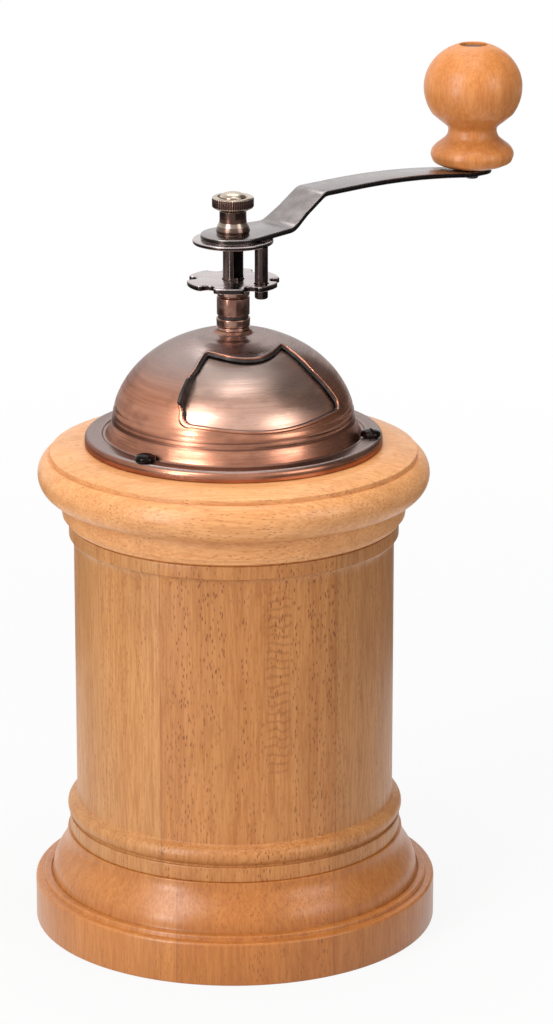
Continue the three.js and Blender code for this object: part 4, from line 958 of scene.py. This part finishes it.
def arm():
    """A cranked strip: its outline at each level follows the arm's height along it."""
    shoulder = math.acos((EYE_R - ARM_W / 2) / TAPER_L)
    half = [(EYE_R * math.cos(a), EYE_R * math.sin(a)) for a in evenly(math.pi, shoulder, 30)]
    root, wide = half[-1]
    crank_from, crank_step, crank_to = 15.5, 0.3, 34  # closer stations round the two bends
    stations = [root + i for i in range(1, 14)] + [crank_from + crank_step * i for i in range(62)]
    stations += evenly(crank_to, ARM_L, 50)
    half += [(s, lerp(wide, ARM_W / 2, min(1, (s - root) / (TAPER_L - root)))) for s in stations]
    half += [(ARM_L + ARM_W / 2 * math.sin(a), ARM_W / 2 * math.cos(a))
             for a in evenly(0, math.pi / 2, 18)[1:]]
    outline = half + [(x, -y) for x, y in reversed(half[1:-1])]
    outline = [(x, -y) for x, y in outline]
    levels = edge_levels(-ARM_T, 0, 0.4)
    turn = math.radians(ARM_AZ - 90)
    cosine, sine = math.cos(turn), math.sin(turn)
    count = len(outline)
    probe = 0.1
    points = []
    for distance, depth in levels:
        for x, y in inset(outline, distance):
            slope = (arm_height(x + probe) - arm_height(x - probe)) / (2 * probe)
            lean = math.hypot(1, slope)
            s, z = x - slope * depth / lean, arm_height(x) + depth / lean + eye_bottom + ARM_T
            points.append((s * cosine - y * sine, s * sine + y * cosine, z))
    faces = side_faces(len(levels), count)
    last = len(half) - 1
    for base in (0, (len(levels) - 1) * count):
        for i in range(last):
            mirror, mirror_next = (count - i) % count, count - i - 1
            corners = [base + i, base + i + 1, base + mirror_next, base + mirror]
            faces.append(list(dict.fromkeys(corners)))
    return points, faces


arm_strip = solid("arm_strip", arm())
knob_hole = ring_points(KNOB_HOLE_R, 32, centre=knob_axis.xy)
carved(arm_strip, *[rings_body([level(hole, eye_bottom - 2), level(hole, eye_bottom + above)])
                    for hole, above in ((ring_points(*DRIVE_HOLE), 5), (knob_hole, 12))])
dressed(arm_strip, SATIN, "handle", "antique_steel", ["crank_arm"])


# Cap nut, knob and screws

def cap_nut():
    low = nut_bottom
    rim = low + 10.9
    bore, waist_r, head_r, button_r = 2.6, 3.95, 6.1, 3.9
    outline = rounded([
        (bore, low), (4.75, low, 0.2), (5.0, low + 1.0, 0.6), (4.55, low + 2.3, 0.9), (4.0, low + 3.5, 0.8),
        (waist_r, low + 4.6, 0.5), (waist_r, low + 6.7, 0.3), (5.85, low + 7.75, 0.25),
        (head_r, low + 8.1, 0.2), (head_r, rim - 0.35, 0.2), (5.65, rim, 0.2), (4.6, rim, 0.2),
        (4.3, rim - 0.45, 0.1), (3.95, rim - 0.45)])
    outline += arc((0, rim - 0.3), (button_r, nut_top - rim + 0.3), 8, 90, 7)
    teeth, knurl_depth = 56, 0.06
    side_low, side_high = low + 8.0, rim - 0.3

    def knurl(radius, z, angle):
        if radius > head_r - 0.2 and side_low < z < side_high:
            return radius - knurl_depth * (1 - math.cos(teeth * angle))
        return radius
    outline += [(0, nut_top), (0, shaft_top + 0.3), (bore, shaft_top + 0.3)]
    clean = outline[:1] + [b for a, b in zip(outline, outline[1:]) if math.dist(a, b) > 1e-5]
    return lathe(clean, teeth * 6, knurl)


def flowing(points, steps=5):
    """A smooth curve through points, the first and last only guiding its ends."""
    out = []
    for p0, p1, p2, p3 in zip(points, points[1:], points[2:], points[3:]):
        a, b, c, d = (Vector(p) for p in (p0, p1, p2, p3))
        for t in evenly(0, 1, steps)[:-1]:
            place = b + (c - a) * (t / 2) + (a - b * 2.5 + c * 2 - d / 2) * t ** 2
            place += ((b - c) * 1.5 + (d - a) / 2) * t ** 3
            out.append(place[:])
    return out


def knob():
    ball_r = (knob_high.x - knob_low.x) / 2 / MM
    drop, rise, mid, recess_r, recess, bore = 14.6, 13.6, 24.2, 4.2, 4.0, KNOB_HOLE_R
    waist = [(12.7, 3.1), (12.4, 4.7), (11.3, 6.1), (9.5, 7.5), (8.0, 8.9), (7.4, 10.7), (7.8, 12.1),
             (10.2, 14.1)]
    top_angle = math.degrees(math.acos(recess_r / ball_r))
    ball = arc((0, mid), (ball_r, drop), -34, 0, 4)[:-1] + arc((0, mid), (ball_r, rise), 0, top_angle, 4)
    outline = rounded([(bore, 0), (9.6, 0, 1.0), (12.0, 1.1, 1.6), waist[0]])[:-1]
    outline += flowing([(12.3, 1.4)] + waist + ball[:2])
    top = ball[-1][1]
    outline += ball[:-1]
    outline += rounded([ball[-2], ball[-1] + (0.5,), (recess_r, top - recess, 0.2), (bore, top - recess)])[1:]
    return set_on(lathe(outline, 144), knob_axis, knob_low.z / MM)


def knob_pin():
    low, high = span("knob_pin")
    pin_r, rivet_r, head_r = 1.9, 2.4, 3.9
    recess = high - 1.6
    under = low + 1
    return set_on(lathe(rounded([
        (0, low - 0.8), (1.8, low - 0.8, 0.5), (rivet_r, under - 0.5, 0.3), (rivet_r, under),
        (pin_r, under), (pin_r, recess), (head_r, recess, 0.15), (head_r, high - 0.5, 0.4),
        (2.6, high, 0.8), (0, high)]), 64), knob_axis)


def knob_washer():
    low, high = span("knob_washer")
    return plate(ring_points(5.6, 72, centre=knob_axis.xy), low, high, 0.2,
                 [ring_points(KNOB_HOLE_R, 36, centre=knob_axis.xy)])


def screw(azimuth):
    head_r, head_h, shank_r, shank, tip, slot_turn = 3.0, 2.2, 1.4, 11.7, 1.4, 24
    outline = rounded([
        (0, -shank), (0.7, -shank), (shank_r, tip - shank, 0.2), (shank_r, 0), (2.7, 0, 0.1),
        (head_r, 0.25, 0.2), (head_r, head_h * 0.38)])
    outline += arc((0, head_h * 0.38), (head_r, head_h * 0.62), 6, 90, 7)
    thing = solid("screw", lathe(outline, 64))
    slot = [(-4.5, -0.4), (4.5, -0.4), (4.5, 0.4), (-4.5, 0.4)]
    carved(thing, rings_body([level(slot, head_h * 0.5), level(slot, head_h + 0.5)]))
    place = Matrix.Translation((at(azimuth, screw_ring, flange_top)) * MM)
    thing.data.transform(place @ Matrix.Rotation(math.radians(azimuth + slot_turn), 4, "Z"))
    return thing


piece("cap_nut_knurled", cap_nut(), NUT_BRONZE_PAINTED_SHEEN_AND_SHADE, "cap_nut", "dark_bronze", ["cap_nut"], crease=50)
piece("knob_turned", knob(), BEECH_KNOB, "knob", "beech_knob", ["knob"])
piece("knob_pin_headed", knob_pin(), BLACKENED, "handle", "dark_bronze", ["knob_pin"])
piece("knob_washer_flat", knob_washer(), SATIN, "handle", "antique_steel", ["knob_washer"])
for number, screw_azimuth in enumerate(SCREW_AZIMUTHS, 1):
    head = screw(screw_azimuth)
    head.name = f"dome_screw_slotted_{number}"
    dressed(head, BLACKENED, "head", "dark_bronze", [f"dome_screw_{number}"])


# Materials on the inner nodes that stay as they are

CARRIED = {
    BRIGHT: ["shutter_washer", "burr_carrier", "end_washer", "end_nut", "spring_seat", "spring_clip",
             *[f"carrier_screw_{i}" for i in (1, 2, 3)], *[f"bridge_screw_{i}" for i in (1, 2)]],
    BURR: ["outer_burr", "inner_burr", "burr_bridge"],
    BRONZE: ["bush_nut"],
    PATINA_AND_PAINTED_SHADE: ["thrust_washer"],
}
for finish, node_names in CARRIED.items():
    for node_name in node_names:
        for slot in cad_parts[node_name].material_slots:
            slot.material = finish


# Stage, lights and camera

def shown_rays(tree):
    """1 for rays from the eye and for those that metal and glass send on, else 0."""
    path = new_node(tree, "LightPath")
    seen = path.outputs["Is Camera Ray"]
    for other in ("Is Glossy Ray", "Is Transmission Ray"):
        seen = new_node(tree, "Math", {0: seen, 1: path.outputs[other]}, operation="MAXIMUM").outputs[0]
    return seen


def backdrop_material(name, near_share, near, far):
    """White for the eye, for metal and for glass, wholly so beyond the far radius in metres;
    the rest is plain and keeps the shadow."""
    material = bpy.data.materials.new(name)
    material.use_nodes = True
    tree = material.node_tree
    tree.nodes.clear()
    place = new_node(tree, "TexCoord").outputs["Object"]
    away = new_node(tree, "VectorMath", {0: place}, operation="LENGTH").outputs["Value"]
    share = new_node(tree, "MapRange", {0: away, 1: near, 2: far, 3: near_share, 4: 1.0},
                     interpolation_type="SMOOTHSTEP").outputs[0]
    part = new_node(tree, "Math", {0: shown_rays(tree), 1: share}, operation="MULTIPLY").outputs[0]
    plain = new_node(tree, "BsdfDiffuse", {"Color": (0.56, 0.56, 0.56)}).outputs[0]
    glow = new_node(tree, "Emission").outputs[0]
    mix = new_node(tree, "MixShader", {0: part, 1: plain, 2: glow}).outputs[0]
    new_node(tree, "OutputMaterial", {"Surface": mix})
    return material


def stage_mesh(name, points, faces, material):
    mesh = bpy.data.meshes.new(name)
    mesh.from_pydata(points, [], faces)
    mesh.materials.append(material)
    thing = placed(name, mesh)
    return thing


FLOOR = 12  # metres from the middle to each edge
stage_mesh("floor", [(-FLOOR, -FLOOR, 0), (FLOOR, -FLOOR, 0), (FLOOR, FLOOR, 0), (-FLOOR, FLOOR, 0)],
           [[0, 1, 2, 3]], backdrop_material("floor_white", 0.88, 0.2, 0.7))


def card(name, start, end, inner, outer, grey):
    """A dark studio card that only metal reflects, between two azimuths; its lower and upper edges are
    given as (radius, height)."""
    steps = 12
    points = [at(azimuth, *edge)[:] for azimuth in evenly(start, end, steps) for edge in (inner, outer)]
    faces = [[2 * i, 2 * i + 2, 2 * i + 3, 2 * i + 1] for i in range(steps)]
    material = Shader(name, base_color=(grey, grey, grey), roughness=1.0).material
    thing = stage_mesh(name, points, faces, material)
    thing.visible_camera = thing.visible_diffuse = False
    thing.visible_shadow = thing.visible_transmission = False


card("card_right", 66, 155, (1.3, 0.05), (1.3, 2.9), 0.15)
card("flag_right", 20, 155, (0.25, 0.002), (1.2, 0.002), 0.06)
card("flag_left", -155, -64, (0.25, 0.002), (1.2, 0.002), 0.06)

world = bpy.data.worlds.new("studio")
bpy.context.scene.world = world
world.use_nodes = True
sky = world.node_tree
backing = sky.nodes["Background"].inputs
AMBIENT = 0.34
strength = new_node(sky, "MapRange", {"Value": shown_rays(sky), "To Min": AMBIENT, "To Max": 1.0})
put(sky, (1, 1, 1), backing["Color"])
put(sky, strength.outputs[0], backing["Strength"])


def lamp(name, place, target, size, power):
    data = bpy.data.lights.new(name, "AREA")
    data.shape = "RECTANGLE"
    data.size, data.size_y = size
    data.energy = power
    thing = placed(name, data)
    thing.location = place
    thing.rotation_euler = (Vector(target) - Vector(place)).to_track_quat("-Z", "Y").to_euler()
    return thing


lamp("key", (-1.15, -1.25, 1.25), (0, 0, 0.13), (0.9, 1.0), 23)
lamp("fill", (1.6, -1.2, 0.9), (0, 0, 0.12), (1.0, 1.0), 12)
lamp("top", (0.0, -0.1, 1.7), (0, 0, 0.12), (1.2, 1.2), 21).visible_glossy = False
lamp("crown", (0.06, -0.30, 1.7), (0, 0, 0.15), (0.6, 0.5), 1.8)
lamp("strip", (-0.95, -1.05, 0.2), (0, 0, 0.16), (0.12, 0.5), 8)
lamp("back", (0.0, 0.9, 1.5), (0, 0, 0.15), (0.9, 0.5), 3)

camera_data = bpy.data.cameras.new("camera")
FOCAL_PX, FRAME_PX, SENSOR = 4208, 1024, 36  # the photograph's focal length and height in pixels; mm
camera_data.sensor_width = SENSOR
camera_data.lens = FOCAL_PX * SENSOR / FRAME_PX
camera = placed("camera", camera_data)
camera.location = (0, -1.194, 0.485)
camera.rotation_euler = (math.radians(90 - 16.73), 0, math.radians(-0.606))
bpy.context.scene.camera = camera
bpy.context.scene.view_settings.view_transform = "Standard"
